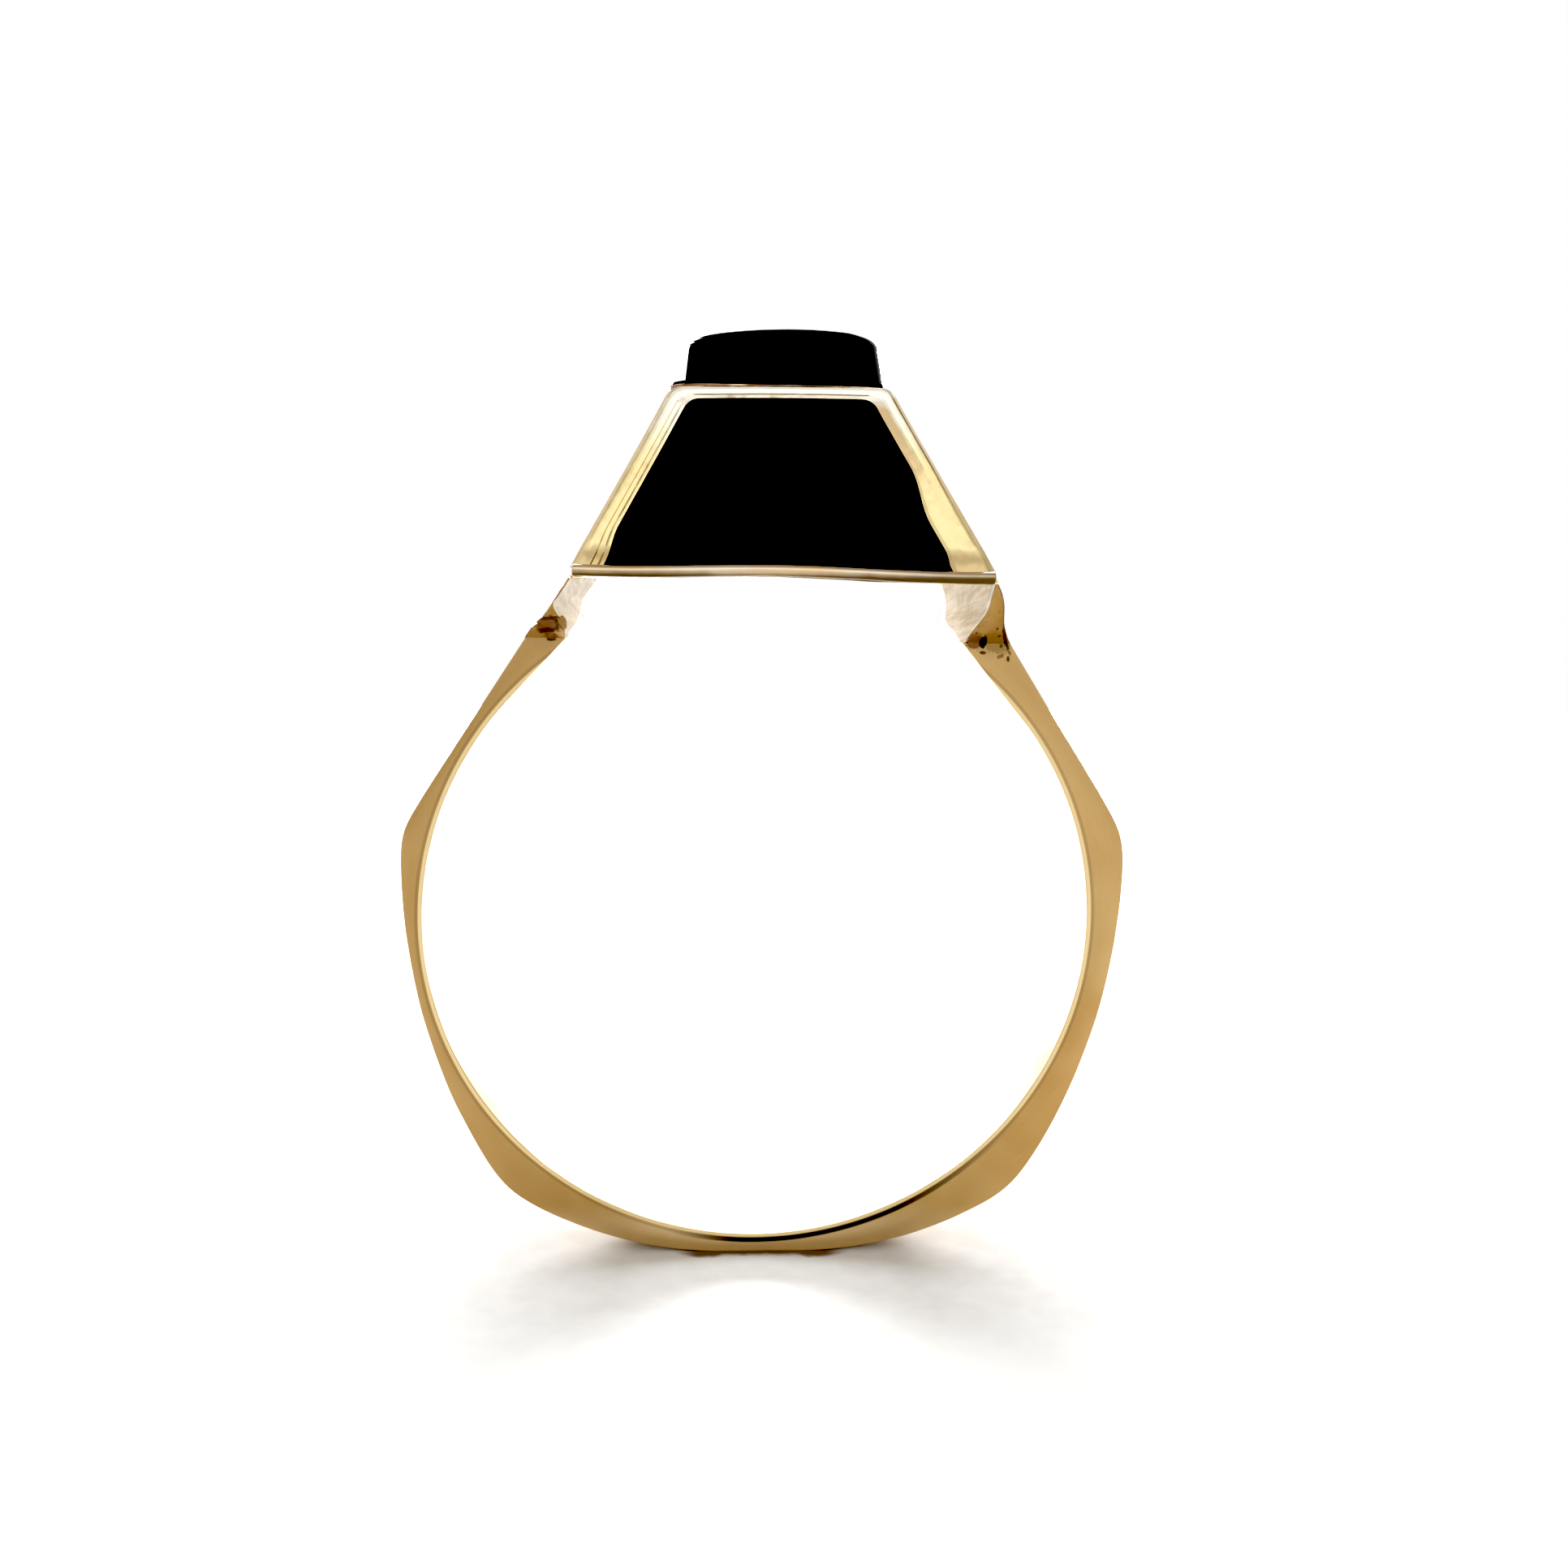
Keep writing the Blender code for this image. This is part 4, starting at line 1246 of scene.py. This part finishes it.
def make_side_plate(name, node, side):
    """A sloping plate at the side of the head."""
    low, high = box_mm(node)
    plate = begin_block(name)

    def place(point):
        height = high.z if point.z > 0 else low.z
        inset = LEFT_PLATE_INSET if side < 0 and point.z < 0 else 0
        outside = head_half_width(height, side) - (inset if point.x > 0 else SIDE_PLATE)
        along = head_half_length(height) - FRAME_BODY - SIDE_PLATE_SHORTER
        return Vector((HEAD_MIDDLE + side * outside, math.copysign(along, point.y), height))

    move_points(plate, place)
    point_outwards()
    round_edges(plate, SIDE_PLATE_EDGE)
    refine(plate, 4)
    ruffle(plate, *SIDE_PLATE_RUFFLE)
    finish_piece(plate, node, "polished_gold", POLISHED)


def make_backing():
    """The plate behind the panel, copied to the back. Its foot stays hidden behind the rail."""
    low, high = box_mm("panel_backing_front")
    plate = begin_block("backing_front")

    def place(point):
        height = high.z if point.z > 0 else low.z + BACKING_RAISED
        across = head_half_width(height, -1) - SIDE_PLATE - BACKING_GAP
        front = BACKING_DEPTH - head_half_length(height)
        depth = front + (BACKING_THICKNESS if point.y > 0 else 0)
        return Vector((HEAD_MIDDLE + math.copysign(across, point.x), depth, height))

    move_points(plate, place)
    point_outwards()
    round_edges(plate, BACKING_EDGE, 2)
    finish_pair(plate, "backing", "panel_backing", "rough_gold", FILED)


def make_table():
    """The black tablet: upright rounded corners, a rounded shoulder and a gently domed top."""
    middle = (TABLE_LOW + TABLE_HIGH) / 2
    size = TABLE_HIGH - TABLE_LOW
    foot = (middle.x, middle.y, TABLE_LOW.z + TABLE_FOOT / 2)
    stone = begin_block("tablet", location=foot, scale=(size.x, size.y, TABLE_FOOT))
    round_uprights(stone, TABLE_CORNER)
    select(stone, "edges", lambda edge: edge.calc_length() > TABLE_LONG_EDGE)
    bpy.ops.mesh.subdivide(number_cuts=TABLE_CUTS)
    wall = size.z - TABLE_FOOT - TABLE_SHOULDER - TABLE_CROWN
    select(stone, "faces", looks_up)
    centre = (middle.x, middle.y, TABLE_HIGH.z)

    def raise_by(rise, shrink):
        extrude((0, 0, rise))
        bpy.ops.transform.resize(value=(shrink, shrink, 1), center_override=centre)

    raise_by(wall, TABLE_TAPER)
    half = size.x / 2 * TABLE_TAPER
    reach = half
    for step in range(1, SHOULDER_STEPS + 1):
        before = math.pi / 2 / SHOULDER_STEPS * (step - 1)
        angle = math.pi / 2 / SHOULDER_STEPS * step
        rise = TABLE_SHOULDER * (math.sin(angle) - math.sin(before))
        new_reach = half - TABLE_SHOULDER * (1 - math.cos(angle))
        raise_by(rise, new_reach / reach)
        reach = new_reach
    for step in range(1, CROWN_STEPS):
        spread = 1 - step / CROWN_STEPS
        before = 1 - (step - 1) / CROWN_STEPS
        raise_by(TABLE_CROWN * (before ** CROWN_POWER - spread ** CROWN_POWER), spread / before)
    bpy.ops.mesh.poke()
    point_outwards()

    def bow(point):
        """Arches the top from side to side and levels it."""
        across = (point.x - middle.x) / half
        height = (point.z - TABLE_LOW.z) / size.z
        rise = TABLE_LIFT - TABLE_BOW * across * across + TABLE_TILT * (point.x - middle.x)
        spread = across * (TABLE_RIGHT_SPREAD if across > 0 else TABLE_LEFT_SPREAD)
        return point + Vector((spread * height, 0, rise * height))

    paint_faces(stone, lambda face: face.calc_center_median().z < TABLE_LOW.z + TABLE_FOOT, 1)
    move_points(stone, bow)
    finish_piece(stone, "onyx_table", "onyx", ONYX, DULL_ONYX)
    return stone


def make_bezel():
    """The thin rim that holds the tablet."""
    middle = (BEZEL_LOW + BEZEL_HIGH) / 2
    size = BEZEL_HIGH - BEZEL_LOW
    rim = begin_block("tablet_rim", location=middle, scale=size)
    round_uprights(rim, BEZEL_CORNER)
    select(rim, "faces", looks_up)
    bpy.ops.mesh.inset(thickness=BEZEL_WALL)
    extrude((0, 0, BEZEL_WALL - size.z))
    point_outwards()
    round_edges(rim, BEZEL_EDGE, 2)
    finish_piece(rim, "table_bezel", "polished_gold", RIM_GOLD)


# Nodes that keep their CAD shape

CARRIED_OVER = {
    "table_seat": POLISHED,
    "table_cement": CEMENT,
    "panel_cement_front": CEMENT,
    "panel_cement_back": CEMENT,
}


def dress_carried_over():
    for name, material in CARRIED_OVER.items():
        for material_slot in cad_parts[name].material_slots:
            material_slot.material = material


# Floor, light and camera

FLOOR_SIZE = 380
ROOM_LEVEL = 0.48
ROOM_BEHIND = 0.70
ROOM_WINDOW = 0.38
ROOM_IN_FRONT = 0.45
CEILING_DARKER = 0.40
ROOM_BEHIND_SPAN = (-0.1, 0.5)
ROOM_FRONT_SPAN = (0.15, 0.5)
WINDOW_SIDE_SPAN = (0.35, 0.60)
WINDOW_SILL_SPAN = (0.15, 0.40)
CEILING_SPAN = (0.55, 0.80)
BLACK_POINT = 0.08
CAMERA_PLACE = Vector((-1.7313, -43.465, 18.12))
CAMERA_YAW = math.radians(3.0)
CAMERA_PITCH = math.radians(7.138)
CAMERA_ROLL = math.radians(0.8)
CAMERA_LENS = 37.267
CAMERA_SENSOR = 36.0


def make_floor():
    floor = begin("floor", bpy.ops.mesh.primitive_plane_add, size=FLOOR_SIZE)
    bpy.ops.mesh.subdivide(number_cuts=8)
    bpy.ops.object.mode_set(mode="OBJECT")
    to_metres(floor)
    floor.data.materials.append(white_paper())


def make_light(name, place, aim, width, height, radiance, lit=None):
    """A soft box turned towards a point, as bright as radiance all over. It may light lit alone."""
    light = bpy.data.lights.new(name, "AREA")
    light.shape = "RECTANGLE"
    light.size = width * MM
    light.size_y = height * MM
    light.energy = radiance * math.pi * light.size * light.size_y
    box = bpy.data.objects.new(name, light)
    box.location = Vector(place) * MM
    box.rotation_euler = (Vector(aim) - Vector(place)).to_track_quat("-Z", "Y").to_euler()
    bpy.context.scene.collection.objects.link(box)
    if lit:
        box.light_linking.receiver_collection = lit


CORNER_LIGHTS = 7
CORNER_LIGHT_DISTANCE = 150
CORNER_LIGHT_WIDTH = 36
CORNER_LIGHT_HEIGHT = 84
CORNER_TURNS = (math.radians(16), math.radians(51))
CORNER_LEANS = [math.radians(angle) for angle in (8, 24, 40, 56, 70)]
CORNER_SPOT = Vector((0.3, 0.3, 0.9))
CORNER_GRAZING = 0.02
CORNER_WHITENESS = 0.7
ONYX_MIRROR = 0.01


def make_corner_lights(stone):
    """Lights for the stone alone, each where its left corner mirrors it and so shines white."""
    stone_alone = bpy.data.collections.new("stone_alone")
    stone_alone.objects.link(stone)
    corner = TABLE_LOW + CORNER_SPOT
    view = (corner - CAMERA_PLACE).normalized()
    for lean in CORNER_LEANS:
        for step in range(CORNER_LIGHTS):
            turn = mix(*CORNER_TURNS, step / (CORNER_LIGHTS - 1))
            level = -math.cos(lean)
            normal = Vector((level * math.cos(turn), level * math.sin(turn), math.sin(lean)))
            facing = -view.dot(normal)
            if facing < CORNER_GRAZING:
                continue
            mirrored = view + normal * 2 * facing
            strength = ONYX_MIRROR + (1 - ONYX_MIRROR) * (1 - facing) ** 5
            make_light("corner", corner + mirrored * CORNER_LIGHT_DISTANCE, corner,
                       CORNER_LIGHT_WIDTH, CORNER_LIGHT_HEIGHT, CORNER_WHITENESS / strength, stone_alone)


def make_surroundings():
    """A room that is plain white to the camera: brighter behind and in a window, darker overhead."""
    world = bpy.data.worlds.new("white_room")
    bpy.context.scene.world = world
    nodes = Nodes(world)
    x, y, z = nodes.split(nodes.add("ShaderNodeTexCoord"))
    behind = nodes.step(y, *ROOM_BEHIND_SPAN)
    front = nodes.step(0 - y, *ROOM_FRONT_SPAN)
    window = front * nodes.fade(abs(x), *WINDOW_SIDE_SPAN) * nodes.step(z, *WINDOW_SILL_SPAN)
    ceiling = nodes.step(z, *CEILING_SPAN)
    level = ROOM_LEVEL + behind * ROOM_BEHIND + window * ROOM_WINDOW + front * ROOM_IN_FRONT
    level = level * (1 - ceiling * CEILING_DARKER)
    seen = nodes.add("ShaderNodeLightPath")
    background = world.node_tree.nodes["Background"]
    background.inputs["Color"].default_value = (1, 1, 1, 1)
    nodes.feed(background.inputs["Strength"], seen + (1 - seen) * level)


def make_camera():
    camera = bpy.data.cameras.new("camera")
    camera.sensor_fit = "HORIZONTAL"
    camera.sensor_width = CAMERA_SENSOR
    camera.lens = CAMERA_LENS
    camera.clip_start = 0.5 * MM
    camera.clip_end = 10
    stand = bpy.data.objects.new("camera", camera)
    turn = Matrix.Rotation(-CAMERA_YAW, 4, "Z")
    tilt = Matrix.Rotation(math.pi / 2 - CAMERA_PITCH, 4, "X")
    roll = Matrix.Rotation(CAMERA_ROLL, 4, "Z")
    stand.matrix_world = Matrix.Translation(CAMERA_PLACE * MM) @ turn @ tilt @ roll
    bpy.context.scene.collection.objects.link(stand)
    bpy.context.scene.camera = stand


def set_picture_tone():
    """Plain colours, with the deepest shadows pulled to black."""
    tone = bpy.context.scene.view_settings
    tone.view_transform = "Standard"
    tone.use_curve_mapping = True
    tone.curve_mapping.black_level = (BLACK_POINT, BLACK_POINT, BLACK_POINT)
    tone.curve_mapping.update()


make_hoop()
make_leg("leg_left", "shoulder_left", -1, left_leg, LEFT_LEG_REAR)
make_leg("leg_right", "shoulder_right", 1, right_leg, 0)
make_solder("solder_left", "solder_seam_left", LEFT_BLOBS, [])
make_solder("solder_right", "solder_seam_right", RIGHT_BLOBS, RIGHT_PITS)
make_frame()
make_inlay()
make_rail()
make_side_plate("side_plate_left", "head_side_left", -1)
make_side_plate("side_plate_right", "head_side_right", 1)
make_backing()
tablet = make_table()
make_bezel()
dress_carried_over()

make_floor()
make_surroundings()
make_light("key_behind", place=(0, 66, 68), aim=(0, 0, 2), width=70, height=60, radiance=3.3)
make_light("low_behind", place=(0, 194, 48), aim=(0, 0, 0), width=150, height=21, radiance=90)
make_corner_lights(tablet)
make_camera()
set_picture_tone()
